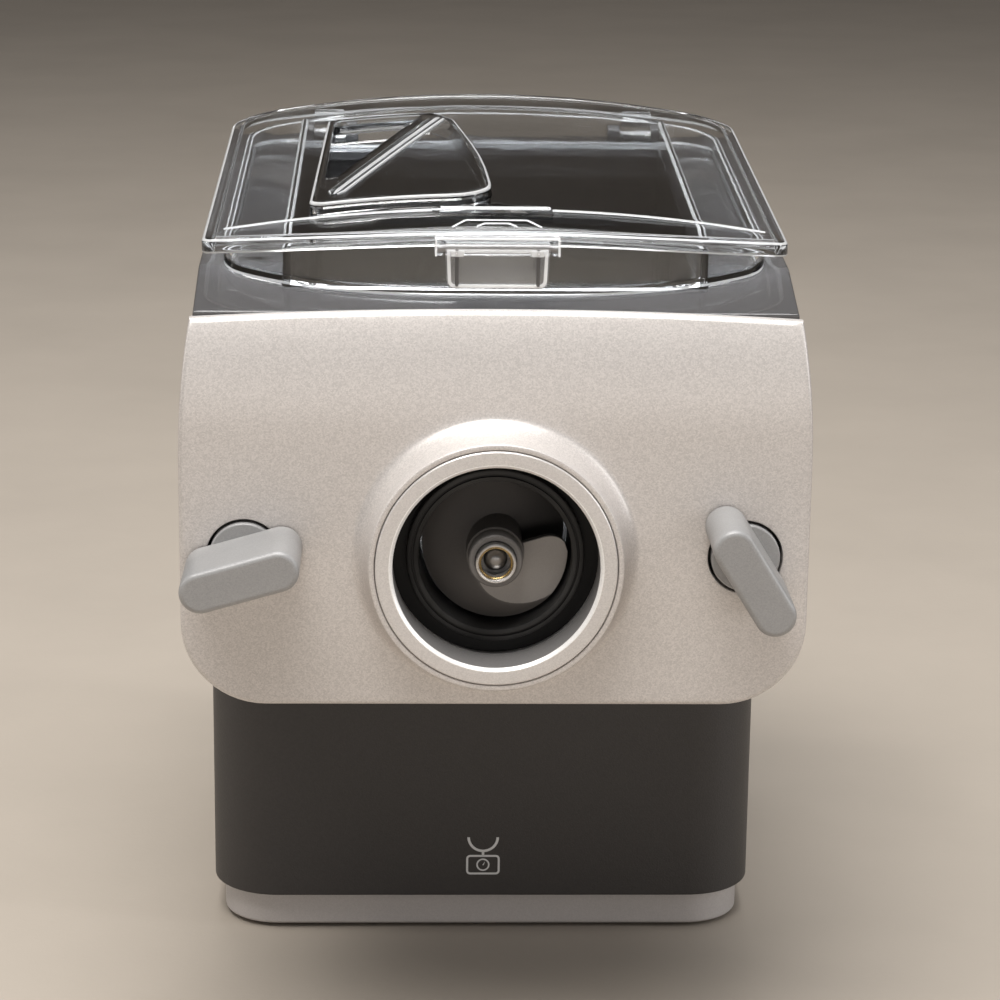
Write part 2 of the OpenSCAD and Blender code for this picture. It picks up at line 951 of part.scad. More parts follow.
module rear_cover() {
    slot_count = 9;
    slot_pitch = 9;
    slot_half_w = 34;
    color(charcoal)
        difference() {
            intersection() {
                body_section(0, base_bottom_z, cap_seam_z);
                translate([-overall_w, rear_cover_y, 0])
                    cube([2 * overall_w, big, big]);
            }
            intersection() {
                body_section(wall, base_bottom_z - cut, cap_seam_z + cut);
                translate([-overall_w, rear_cover_y - cut, 0])
                    cube([2 * overall_w, big, big]);
            }
            // air slots behind the fan
            for (i = [0 : slot_count - 1])
                along_y(rear_face_y - wall - cut, rear_face_y + cut)
                    translate([0, motor_z + (i - (slot_count - 1) / 2) * slot_pitch])
                        square([2 * slot_half_w, 3.4], center = true);
            at_axis(-overall_w * 0.28, floor_z + 24)
                bar_y(7 + press_gap, rear_face_y - wall - cut, rear_face_y + cut);
            for (z = [lower_screw_z, upper_screw_z])
                for (s = [-1, 1])
                    translate([s * screw_x, 0, z])
                        bar_y(2.2, rear_face_y - wall - cut, rear_face_y + cut);
        }
    color(charcoal)
        cover_tubes();
}

// Screw tubes inside the rear cover
module cover_tubes() {
    for (z = [lower_screw_z, upper_screw_z])
        for (s = [-1, 1])
            translate([s * screw_x, 0, z])
                difference() {
                    bar_y(4.5, rear_cover_y, rear_face_y - wall + 0.4);
                    bar_y(2.2, rear_cover_y - cut, rear_face_y);
                }
}

module cover_screws() {
    color(steel)
        for (z = [lower_screw_z, upper_screw_z])
            for (s = [-1, 1])
                translate([s * screw_x, 0, z]) {
                    bar_y(1.6, rear_cover_y - 10, rear_face_y + 0.1);
                    bar_y(3.6, rear_face_y, rear_face_y + 1.3);
                }
}

// ---------- control panel ----------

module at_bezel(y, z) {
    translate([panel_side_x, bezel_y + y, bezel_z + z])
        children();
}

module control_bezel() {
    proud = 0.5;
    color(black)
        difference() {
            union() {
                at_bezel(0, 0)
                    along_x(-bezel_t + proud, proud)
                        round_rect(-bezel_w / 2, bezel_w / 2, -bezel_h / 2, bezel_h / 2, 6);
                // legs that carry the control board
                for (y = [-bezel_w / 2 + 5, bezel_w / 2 - 5])
                    for (z = [-bezel_h / 2 + 5, bezel_h / 2 - 5])
                        at_bezel(y, z)
                            bar_x(2.5, -8, -bezel_t + proud + 0.2);
            }
            at_bezel(-window_w / 2 - 4, 0)
                translate([-bezel_t - cut, 0, -window_h / 2 + 10])
                    cube([bezel_t + 2 * cut, window_w, window_h]);
            for (y = button_y)
                at_bezel(y, button_z)
                    bar_x(button_r + 0.3, -bezel_t - cut, 2);
        }
}

module display_window() {
    color(smoke)
        at_bezel(-window_w / 2 - 4, 0)
            translate([-1.4, press_gap, -window_h / 2 + 10 + press_gap])
                cube([1.6, window_w - 2 * press_gap, window_h - 2 * press_gap]);
}

module display_module() {
    color(pale_grey)
        at_bezel(-window_w / 2 - 4, 0)
            translate([-7.95, 2, -window_h / 2 + 12])
                cube([6.2, window_w - 4, window_h - 4]);
}

module control_board() {
    color(board_green)
        difference() {
            at_bezel(-bezel_w / 2 + 1, -bezel_h / 2 + 1)
                translate([-9.6, 0, 0])
                    cube([1.6, bezel_w - 2, bezel_h - 2]);
            at_bezel(0, bezel_h / 2 - 2)
                bar_x(1.2, -12, 0);
        }
}

// Round key: cap, collar behind the bezel and stem down to its switch
module key(y) {
    color(pale_grey)
        at_bezel(y, button_z) {
            bar_x(button_r, -bezel_t, 0.9);
            bar_x(button_r + 1, -bezel_t - 1.2, -bezel_t);
            bar_x(2, -6, -bezel_t - 1.2);
        }
}

module power_button() {
    key(button_y[0]);
}

module program_button() {
    key(button_y[1]);
}

module weigh_button() {
    key(button_y[2]);
}

module start_button() {
    key(button_y[3]);
}

// ---------- drive ----------

// Point on an involute of base radius rb at radius r
function involute_angle(rb, r) = let (a = acos(rb / r)) tan(a) * 180 / PI - a;

// Outline of a spur gear, turned so that a tooth points along +X before phase
module spur_gear_2d(teeth, module_size, phase) {
    rp = teeth * module_size / 2;
    rb = rp * cos(pressure_angle);
    tip = rp + 0.8 * module_size;
    root = rp - 1.05 * module_size;
    half = 90 / teeth - backlash / rp * 90 / PI + involute_angle(rb, rp);
    start = max(rb, root);
    steps = 4;
    flank = [for (i = [0 : steps])
        let (r = start + (tip - start) * i / steps)
        [r, half - involute_angle(rb, r)]];
    rotate(phase)
        polygon([for (k = [0 : teeth - 1])
            let (a = 360 * k / teeth)
            for (p = concat([[root, -half - 0.5]],
                            [for (f = flank) [f[0], -f[1]]],
                            [for (i = [steps : -1 : 0]) flank[i]],
                            [[root, half + 0.5]]))
            [p[0] * cos(a + p[1]), p[0] * sin(a + p[1])]]);
}

// Spur gear on a shaft along Y, with a round bore
module gear_y(teeth, module_size, phase, y0, t, bore) {
    difference() {
        along_y(y0, y0 + t)
            spur_gear_2d(teeth, module_size, phase);
        bar_y(bore, y0 - cut, y0 + t + cut);
    }
}

module drive_shaft() {
    color(steel)
        at_axis()
            bar_y(shaft_r, face_y + 10, gear_rear_y + plate_t + 2.5);
}

module output_gear() {
    color(pale_grey)
        at_axis() {
            gear_y(output_teeth, low_module, 90, low_gear_y, low_gear_t, shaft_r + press_gap);
        }
}

module idler_gear() {
    color(pale_grey)
        at_axis(0, idler_z) {
            gear_y(idler_small_teeth, low_module, 90 + 180 / idler_small_teeth,
                   low_gear_y, low_gear_t, axle_r + run_fit);
            gear_y(idler_big_teeth, high_module, 90, high_gear_y, high_gear_t, axle_r + run_fit);
            ring_y(8, axle_r + run_fit, low_gear_y + low_gear_t - 0.1, high_gear_y + 0.1);
        }
}

module idler_axle() {
    color(steel)
        at_axis(0, idler_z)
            bar_y(axle_r, gear_front_y, gear_rear_y + plate_t);
}

module motor_pinion() {
    color(brass)
        at_axis(0, motor_z)
            gear_y(pinion_teeth, high_module, 90 + 180 / pinion_teeth,
                   high_gear_y - 0.5, high_gear_t + 1, axle_r + press_gap);
}

module armature_shaft() {
    color(steel)
        at_axis(0, motor_z)
            bar_y(axle_r, high_gear_y - 1, fan_y + 8);
}

module cooling_fan() {
    blades = 7;
    fan_r = motor_r - 4;
    color(black)
        at_axis(0, motor_z)
            difference() {
                union() {
                    bar_y(8, fan_y, fan_y + 7);
                    for (i = [0 : blades - 1])
                        rotate([0, i * 360 / blades, 0])
                            translate([6, fan_y + 0.5, -0.8])
                                cube([fan_r - 6, 6, 1.6]);
                }
                bar_y(axle_r + press_gap, fan_y - cut, fan_y + 8);
            }
}

module motor() {
    color(steel)
        at_axis(0, motor_z)
            difference() {
                union() {
                    bar_y(motor_r, motor_y, motor_y + motor_l);
                    bar_y(10, motor_y + motor_l - 0.5, motor_y + motor_l + 2);
                    // mounting pads against the gearbox
                    for (s = [-1, 1])
                        translate([s * (motor_r + 2) - 6, motor_y, -6])
                            cube([12, 5, 12]);
                }
                bar_y(axle_r + run_fit, motor_y - cut, motor_y + motor_l + 3);
            }
}

// Upright plate of the gearbox; it stands on the base plate
module gearbox_plate(y0, axle_hole_r) {
    difference() {
        along_y(y0, y0 + plate_t) {
            round_rect(-plate_half_w, plate_half_w, motor_z - 12, axis_z + 44, 8);
            translate([-plate_half_w + 12, floor_z])
                square([2 * plate_half_w - 24, motor_z - floor_z]);
        }
        at_axis()
            bar_y(bearing_r + press_gap, y0 - cut, y0 + plate_t + cut);
        at_axis(0, idler_z)
            bar_y(axle_r + press_gap, y0 - cut, y0 + plate_t + cut);
        at_axis(0, motor_z)
            bar_y(axle_hole_r, y0 - cut, y0 + plate_t + cut);
    }
}

module gearbox_front_plate() {
    color(steel)
        gearbox_plate(gear_front_y, axle_r);
}

module gearbox_rear_plate() {
    color(steel)
        gearbox_plate(gear_rear_y, 11);
}

module gearbox_posts() {
    x = plate_half_w - 8;
    color(steel)
        for (s = [-1, 1])
            for (z = [motor_z - 4, axis_z + 36])
                translate([s * x, 0, z])
                    bar_y(post_r, gear_front_y + plate_t, gear_rear_y);
}

module front_bearing() {
    color(steel)
        at_axis()
            ring_y(bearing_r, shaft_r + run_fit, gear_front_y - 1.5, gear_front_y + plate_t + 1);
}

module rear_bearing() {
    color(steel)
        at_axis()
            ring_y(bearing_r, shaft_r + run_fit, gear_rear_y - 1, gear_rear_y + plate_t + 2);
}

// Kneading screw: a hub with one helical flight that ends in a flat face
module auger() {
    flight_y = face_y + 7;
    back = tube_back_y + 34;
    pitch = 32;
    turns = (back - flight_y) / pitch;
    flight_t = 118;
    flight_from = -17;
    slices = 44;
    color(black)
        at_axis() {
            difference() {
                bar_y(auger_hub_r, auger_front_y, back);
                bar_y(shaft_r + press_gap, face_y + 10 - press_gap, back + cut);
                bar_y(tip_seat_r + press_gap, auger_front_y - cut, auger_front_y + tip_seat_l);
            }
            translate([0, flight_y, 0])
                rotate([-90, 0, 0])
                    linear_extrude(height = back - flight_y, twist = -360 * turns, slices = slices)
                        difference() {
                            intersection() {
                                circle(r = auger_r, $fn = 48);
                                rotate(flight_from)
                                    polygon([[0, 0], [60, 0], [60 * cos(flight_t / 2), 60 * sin(flight_t / 2)],
                                             [60 * cos(flight_t), 60 * sin(flight_t)]]);
                            }
                            circle(r = auger_hub_r - 0.4, $fn = 48);
                        }
        }
}

// Steel sleeve in the auger's nose; a shaping disc's hub turns on its free end
module auger_tip() {
    front = auger_front_y - tip_gap - tip_free_l;
    color(steel)
        at_axis()
            difference() {
                union() {
                    bar_y(tip_r, front, front + tip_free_l);
                    bar_y(tip_seat_r, front + tip_free_l / 2, auger_front_y + tip_seat_l);
                }
                bar_y(tip_bore_r, front - cut, auger_front_y + tip_seat_l / 2);
            }
}

// Stirring paddle: hub, three pairs of arms and two long scraper bars
module mixing_paddle() {
    front = tube_back_y + 36;
    back = chamber_back_y - wall - 3;
    reach = trough_r - 4;
    arm = 7;
    color(black)
        at_axis()
            difference() {
                union() {
                    bar_y(shaft_r + 5, front, back);
                    for (s = [-1, 1])
                        rotate([0, s * 90 + 20, 0]) {
                            for (y = [front + 4, (front + back) / 2, back - 12])
                                translate([0, y, -arm / 2])
                                    cube([reach - 3, arm, arm]);
                            translate([reach - 7, front + 4, -arm / 2])
                                cube([5, back - front - 9, arm]);
                        }
                }
                bar_y(shaft_r + press_gap, front - cut, back + cut);
            }
}

// ---------- base ----------

module base_ring(inset, low, high) {
    translate([0, 0, low])
        linear_extrude(height = high - low)
            body_plan(inset, base_front_y);
}

module base_shell() {
    color(charcoal)
        difference() {
            union() {
                difference() {
                    base_ring(0, base_bottom_z, base_top_z);
                    base_ring(wall, base_bottom_z - cut, base_top_z + cut);
                }
                // bulkhead behind the drawer front, with the tray's mouth
                difference() {
                    intersection() {
                        base_ring(wall - 0.5, floor_z + seam, base_top_z);
                        translate([-overall_w, mouth_y, 0])
                            cube([2 * overall_w, wall, head_z]);
                    }
                    translate([-tray_half_w - slide_gap, mouth_y - cut, floor_z])
                        cube([2 * (tray_half_w + slide_gap), wall + 2 * cut,
                              tray_z + tray_h + slide_gap - floor_z]);
                }
                for (s = [-1, 1])
                    cover_boss(lower_screw_z, s);
            }
            boss_holes(lower_screw_z);
            translate([-overall_w, face_y, 0])
                cube([2 * overall_w, mouth_y - face_y, head_z]);
            translate([-overall_w, rear_cover_y - seam, 0])
                cube([2 * overall_w, big, head_z]);
        }
}

// Drawer front: the whole dark face of the base, wrapped round its corners
module drawer_front() {
    color(charcoal)
        difference() {
            base_ring(0, base_bottom_z, base_top_z - seam);
            base_ring(3, base_bottom_z - cut, base_top_z + cut);
            translate([-overall_w, mouth_y - seam, 0])
                cube([2 * overall_w, big, head_z]);
        }
}

module drawer_tray() {
    color(pale_grey)
        difference() {
            translate([-tray_half_w, tray_front_y, tray_z])
                cube([2 * tray_half_w, tray_back_y - tray_front_y, tray_h]);
            translate([-tray_half_w + tray_wall, tray_front_y + tray_wall, tray_z + tray_wall])
                cube([2 * (tray_half_w - tray_wall), tray_back_y - tray_front_y - 2 * tray_wall, tray_h]);
            // the tray's front corners clear the wrapped front
            for (s = [-1, 1])
                translate([s * tray_half_w, tray_front_y, 0])
                    rotate([0, 0, 45])
                        cube([22, 22, 2 * head_z], center = true);
        }
    color(pale_grey)
        for (s = [-1, 1])
            translate([s * tray_half_w, tray_front_y, tray_z])
                intersection() {
                    rotate([0, 0, 45])
                        cube([26, 26, 2 * tray_h], center = true);
                    difference() {
                        rotate([0, 0, 45])
                            cube([26, 26, 2 * tray_h], center = true);
                        rotate([0, 0, 45])
                            cube([22, 22, 4 * tray_h], center = true);
                    }
                    translate([s > 0 ? -30 : 0, 0, 0])
                        cube([30, 30, tray_h]);
                }
}

module drawer_runners() {
    color(black)
        for (s = [-1, 1])
            translate([s * (tray_half_w - 12) - 4, mouth_y + 5, floor_z])
                cube([8, tray_back_y - mouth_y - 5, runner_h]);
}

module base_plate() {
    color(charcoal)
        base_ring(wall + slide_gap, base_plate_z, floor_z);
}

module load_cells() {
    color(steel)
        for (x = [-foot_x, foot_x])
            for (y = [base_front_y + 34, rear_face_y - 34])
                translate([x, y, foot_h + wall + 0.2]) {
                    cylinder(r = 6, h = base_plate_z - foot_h - wall - 0.2);
                    translate([-5, -14, 0])
                        cube([10, 28, 4]);
                }
}

// Pale plinth: a shallow cup that carries the load cells
module plinth() {
    color(pale_grey)
        difference() {
            base_ring(plinth_inset, foot_h, plinth_h);
            base_ring(plinth_inset + wall, foot_h + wall, plinth_h + cut);
            for (x = [-foot_x, foot_x])
                for (y = [base_front_y + 20, rear_face_y - 20])
                    translate([x, y, 0])
                        cylinder(r = 3, h = 10);
        }
}

module feet() {
    color(rubber_black)
        for (x = [-foot_x, foot_x])
            for (y = [base_front_y + 20, rear_face_y - 20])
                translate([x, y, 0]) {
                    cylinder(r = foot_r, h = foot_h);
                    cylinder(r = 3 - press_gap, h = foot_h + wall);
                }
}

module power_board() {
    x0 = plate_half_w + 4;
    x1 = body_w / 2 - 18;
    y0 = gear_front_y + 8;
    y1 = rear_cover_y - 18;
    z = floor_z + 6;
    color(board_green) {
        translate([x0, y0, z])
            cube([x1 - x0, y1 - y0, 1.6]);
        for (x = [x0 + 3, x1 - 3])
            for (y = [y0 + 3, y1 - 3])
                translate([x, y, floor_z])
                    cylinder(r = 2, h = 6.5);
        translate([x0 + 6, y0 + 6, z + 1])
            cube([16, 14, 14]);
        translate([x1 - 10, y1 - 12, z + 1])
            cylinder(r = 6, h = 20);
    }
}

module cord_gland() {
    color(rubber_black)
        at_axis(-overall_w * 0.28, floor_z + 24)
            difference() {
                union() {
                    bar_y(7, rear_face_y - wall - 8, rear_y - 0.2);
                    bar_y(9.5, rear_face_y + press_gap, rear_y);
                }
                bar_y(cord_r, rear_face_y - wall - 9, rear_y + cut);
            }
}

front_panel();
collar_ring();
extrusion_tube();
knob_bushes();
left_grip();
left_cam();
right_grip();
right_cam();
lid();
liquid_inlet();
lid_hinge_pins();
lid_latch();
latch_pin();
mixing_chamber();
shaft_seal();
top_frame();
head_housing();
rear_cap();
rear_cover();
cover_screws();
control_bezel();
display_window();
display_module();
control_board();
power_button();
program_button();
weigh_button();
start_button();
drive_shaft();
auger();
auger_tip();
mixing_paddle();
output_gear();
idler_gear();
idler_axle();
motor_pinion();
armature_shaft();
cooling_fan();
motor();
gearbox_front_plate();
gearbox_rear_plate();
gearbox_posts();
front_bearing();
rear_bearing();
power_board();
cord_gland();
base_shell();
drawer_front();
drawer_tray();
drawer_runners();
base_plate();
load_cells();
plinth();
feet();
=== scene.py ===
"""Looks of an electric pasta maker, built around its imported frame.

Shapes are worked out in millimetres, with +Z up and the front towards -Y, and become
metres when a piece's mesh is made. Each sub-assembly is a class that holds its sizes,
builds its meshes and dresses them in their finishes.
"""

import logging
import math
from dataclasses import dataclass, field
from enum import Enum
from typing import Callable, Optional, Sequence, Union

import bmesh
import bpy
import numpy as np
from mathutils import Matrix, Vector
from mathutils.geometry import delaunay_2d_cdt

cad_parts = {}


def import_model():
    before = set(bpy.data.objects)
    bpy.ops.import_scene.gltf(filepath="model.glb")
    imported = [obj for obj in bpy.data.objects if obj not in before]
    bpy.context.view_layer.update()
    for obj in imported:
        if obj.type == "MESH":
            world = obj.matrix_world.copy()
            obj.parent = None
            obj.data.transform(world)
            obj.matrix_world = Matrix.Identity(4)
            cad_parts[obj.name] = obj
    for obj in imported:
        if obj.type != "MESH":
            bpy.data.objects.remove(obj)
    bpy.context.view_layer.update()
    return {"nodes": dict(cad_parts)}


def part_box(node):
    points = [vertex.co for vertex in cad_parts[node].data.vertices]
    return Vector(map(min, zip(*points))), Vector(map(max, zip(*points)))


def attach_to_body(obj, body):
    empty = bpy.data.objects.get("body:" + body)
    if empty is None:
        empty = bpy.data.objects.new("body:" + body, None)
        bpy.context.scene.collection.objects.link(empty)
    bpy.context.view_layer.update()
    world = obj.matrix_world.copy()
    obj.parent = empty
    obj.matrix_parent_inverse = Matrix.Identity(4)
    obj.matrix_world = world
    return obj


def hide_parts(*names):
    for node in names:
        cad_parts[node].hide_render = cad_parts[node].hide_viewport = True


# Metres in a millimetre, and the distances in metres within which doubles are merged.
MM = 0.001
MERGE_FORM = 4e-6
MERGE_NODE = 3e-6
# A flat fill's lattice stays this many pitches clear of the outlines. A triangle is thin if twice
# its area in square millimetres is smaller, and points are one point if they lie nearer.
LATTICE_CLEAR = 0.45
THIN_AREA = 1e-3
SAME_POINT = 1e-7
# Angle in degrees up to which a copied node's faces are joined as flat.
FLAT_ANGLE = 0.6
Array = np.ndarray
Feed = Union[float, tuple, bpy.types.NodeSocket]
log = logging.getLogger("pasta_maker")


# ---------------------------------------------------------------- flat outlines


def circle(centre: Sequence[float], radius: float, steps: int = 96) -> Array:
    """Points of a circle, anticlockwise from its right-hand side."""
    angle = np.linspace(0, 2 * np.pi, steps, endpoint=False)
    return np.stack([centre[0] + radius * np.cos(angle), centre[1] + radius * np.sin(angle)], -1)


def arc(centre: Sequence[float], radius: float, start: float, end: float, steps: int) -> Array:
    """Points of an arc from one angle to another in degrees, without the last one."""
    angle = np.radians(np.linspace(start, end, steps, endpoint=False))
    return np.stack([centre[0] + radius * np.cos(angle), centre[1] + radius * np.sin(angle)], -1)


def between(start: Sequence[float], end: Sequence[float], steps: int) -> Array:
    """Points of a straight line, without the last one."""
    share = np.linspace(0, 1, steps, endpoint=False)[:, None]
    return np.asarray(start) * (1 - share) + np.asarray(end) * share


def rounded(corners: Sequence[Sequence[float]], radii: Union[float, Sequence[float]],
            steps: int = 6) -> Array:
    """Outline through corners, each rounded by an arc tangent to its two edges.

    The arc's points turn evenly about a centre that lies on the corner's bisector.

    Args:
        corners: The sharp corners, anticlockwise.
        radii: One radius for all of them, or one each; 0 keeps a corner sharp.
        steps: Pieces of each arc.
    Returns:
        The outline's points.
    """
    points = np.asarray(corners, float)
    sizes = np.broadcast_to(radii, len(points))
    runs = []
    for i, radius in enumerate(sizes):
        corner = points[i]
        back = points[i - 1] - corner
        ahead = points[(i + 1) % len(points)] - corner
        back = back / np.linalg.norm(back)
        ahead = ahead / np.linalg.norm(ahead)
        half = 0.5 * math.acos(float(np.clip(back @ ahead, -1, 1)))
        if radius <= 0 or half > 1.55:
            runs.append(corner[None])
            continue
        middle = corner + (back + ahead) / np.linalg.norm(back + ahead) * radius / math.sin(half)
        first = corner + back * radius / math.tan(half) - middle
        last = corner + ahead * radius / math.tan(half) - middle
        turn = math.pi - 2 * half
        share = np.linspace(0, 1, steps + 1)[:, None]
        swing = np.sin((1 - share) * turn) * first + np.sin(share * turn) * last
        runs.append(middle + swing / math.sin(turn))
    return np.vstack(runs)


def box_loop(x0: float, x1: float, y0: float, y1: float, radius: float, steps: int = 6) -> Array:
    """Rectangle with four equal round corners."""
    return rounded([(x0, y0), (x1, y0), (x1, y1), (x0, y1)], radius, steps)


def stadium(length: float, width: float, angle: float, steps: int = 20) -> Array:
    """Bar with round ends, turned anticlockwise by an angle in degrees.

    Args:
        length: Length over both ends.
        width: Width.
        angle: Turn in degrees.
        steps: Pieces of each end.
    Returns:
        The outline's points.
    """
    reach = (length - width) / 2
    loop = np.vstack([arc((reach, 0), width / 2, -90, 90, steps) if reach else np.zeros((0, 2)),
                      [(reach, width / 2)],
                      arc((-reach, 0), width / 2, 90, 270, steps),
                      [(-reach, -width / 2)]])
    turn = math.radians(angle)
    return loop @ np.array([[math.cos(turn), math.sin(turn)], [-math.sin(turn), math.cos(turn)]])


def inset(loop: Array, depth: float) -> Array:
    """Outline moved inwards: each point goes along the mitre of its two edges' normals.

    Args:
        loop: The outline, anticlockwise.
        depth: How far it moves; outwards if less than 0.
    Returns:
        The moved outline.
    """
    ahead = np.roll(loop, -1, 0) - loop
    ahead /= np.linalg.norm(ahead, axis=1, keepdims=True)
    normal = np.stack([-ahead[:, 1], ahead[:, 0]], -1)
    before = np.roll(normal, 1, 0)
    mitre = (normal + before) / (1 + np.sum(normal * before, 1, keepdims=True)).clip(0.3)
    return loop + mitre * depth


def spokes(loop: Array, centre: Array) -> Array:
    """Unit directions from a centre to each point of an outline."""
    rays = loop - centre
    return rays / np.linalg.norm(rays, axis=1, keepdims=True)


def denser(loop: Array, pitch: float) -> Array:
    """The same outline with its long edges cut into pieces of about one pitch.

    Args:
        loop: The outline.
        pitch: Wanted distance between two points.
    Returns:
        The outline with more points.
    """
    ahead = np.roll(loop, -1, 0)
    counts = np.maximum(1, np.round(np.linalg.norm(ahead - loop, axis=1) / pitch)).astype(int)
    return np.vstack([between(a, b, n) for a, b, n in zip(loop, ahead, counts)])


def within(points: Array, loop: Array) -> Array:
    """True where a point lies inside an outline, by the even and odd count of crossings.

    Args:
        points: The points to test.
        loop: The outline.
    Returns:
        One truth value for each point.
    """
    x, y = points[:, :1], points[:, 1:2]
    ax, ay = loop[:, 0], loop[:, 1]
    bx, by = np.roll(ax, -1), np.roll(ay, -1)
    spans = (ay > y) != (by > y)
    slope = np.where(by == ay, 1.0, by - ay)
    return np.sum(spans & (x < ax + (y - ay) * (bx - ax) / slope), 1) % 2 == 1


def clearance(points: Array, loop: Array) -> Array:
    """Distance from each point to the nearest edge of an outline.

    Args:
        points: The points to measure from.
        loop: The outline.
    Returns:
        One distance for each point.
    """
    a = loop
    edge = np.roll(loop, -1, 0) - a
    rel = points[:, None] - a[None]
    share = np.clip(np.sum(rel * edge, 2) / np.maximum(np.sum(edge * edge, 1), 1e-12), 0, 1)
    return np.linalg.norm(rel - share[..., None] * edge, axis=2).min(1)


def fill(outer: Array, holes: Sequence[Array] = (), pitch: float = 4.0) -> tuple[Array, Array]:
    """Triangles over a flat region: a square lattice inside it, joined to its outlines.

    A triangle belongs to the region if its middle does. One that is too thin for that test
    follows its neighbour across its longest side.

    Args:
        outer: The region's outline.
        holes: Closed outlines inside it that stay open.
        pitch: Distance between lattice points.
    Returns:
        Points, with the outlines' own points first, and triangles.
    """
    loops = [outer, *holes]
    low, high = outer.min(0), outer.max(0)
    across, along = np.meshgrid(np.arange(low[0] + pitch / 2, high[0], pitch),
                                np.arange(low[1] + pitch / 2, high[1], pitch))
    lattice = np.stack([across.ravel(), along.ravel()], -1)
    keep = within(lattice, outer)
    for loop in loops:
        keep &= clearance(lattice, loop) > LATTICE_CLEAR * pitch
    for hole in holes:
        keep &= ~within(lattice, hole)
    points = np.vstack([*loops, lattice[keep]])
    edges, first = [], 0
    for loop in loops:
        ids = first + np.arange(len(loop))
        edges += np.stack([ids, np.roll(ids, -1)], -1).tolist()
        first += len(loop)
    made = delaunay_2d_cdt([Vector(p) for p in points.tolist()], edges, [], 0, SAME_POINT)
    points = np.array([tuple(p) for p in made[0]])
    tris = np.array(made[2])
    middle = points[tris].mean(1)
    keep = within(middle, outer)
    for hole in holes:
        keep &= ~within(middle, hole)
    ahead = np.roll(points[tris], -1, 1) - points[tris]
    thin = np.abs(ahead[:, 0, 0] * ahead[:, 1, 1] - ahead[:, 0, 1] * ahead[:, 1, 0]) < THIN_AREA
    longest = np.argmax(np.linalg.norm(ahead, axis=2), 1)
    sides = np.sort(np.stack([tris, np.roll(tris, -1, 1)], -1), -1)
    beside = {}
    for index, pairs in enumerate(sides.tolist()):
        for pair in pairs:
            beside.setdefault(tuple(pair), []).append(index)
    for index in np.flatnonzero(thin).tolist() * 3:
        others = [i for i in beside[tuple(sides[index, longest[index]].tolist())] if i != index]
        keep[index] = bool(others) and keep[others[0]]
    return points, tris[keep]


# ---------------------------------------------------------------- solid forms


@dataclass(frozen=True)
class Plane:
    """A drawing plane in space: a flat point and a depth become a point of the machine."""

    origin: tuple = (0.0, 0.0, 0.0)
    across: tuple = (1.0, 0.0, 0.0)
    up: tuple = (0.0, 0.0, 1.0)
    out: tuple = (0.0, 1.0, 0.0)

    def place(self, flat: Array, depth: Union[float, Array]) -> Array:
        """Points at a depth, or at one depth each, along the plane's out direction.

        Args:
            flat: Points in the plane.
            depth: Depth of all of them, or of each.
        Returns:
            The points in space.
        """
        depth = np.broadcast_to(depth, flat.shape[:-1])[..., None]
        return (np.asarray(self.origin) + flat[..., :1] * np.asarray(self.across)
                + flat[..., 1:2] * np.asarray(self.up) + depth * np.asarray(self.out))

    def moved(self, across: float, up: float, depth: float = 0.0) -> "Plane":
        """The same plane with its origin at another of its points."""
        origin = self.place(np.array([across, up], float), depth)
        return Plane(tuple(origin), self.across, self.up, self.out)


FRONT = Plane()
PLAN = Plane(up=(0.0, 1.0, 0.0), out=(0.0, 0.0, 1.0))
SIDE = Plane(across=(0.0, 1.0, 0.0), up=(0.0, 0.0, 1.0), out=(1.0, 0.0, 0.0))


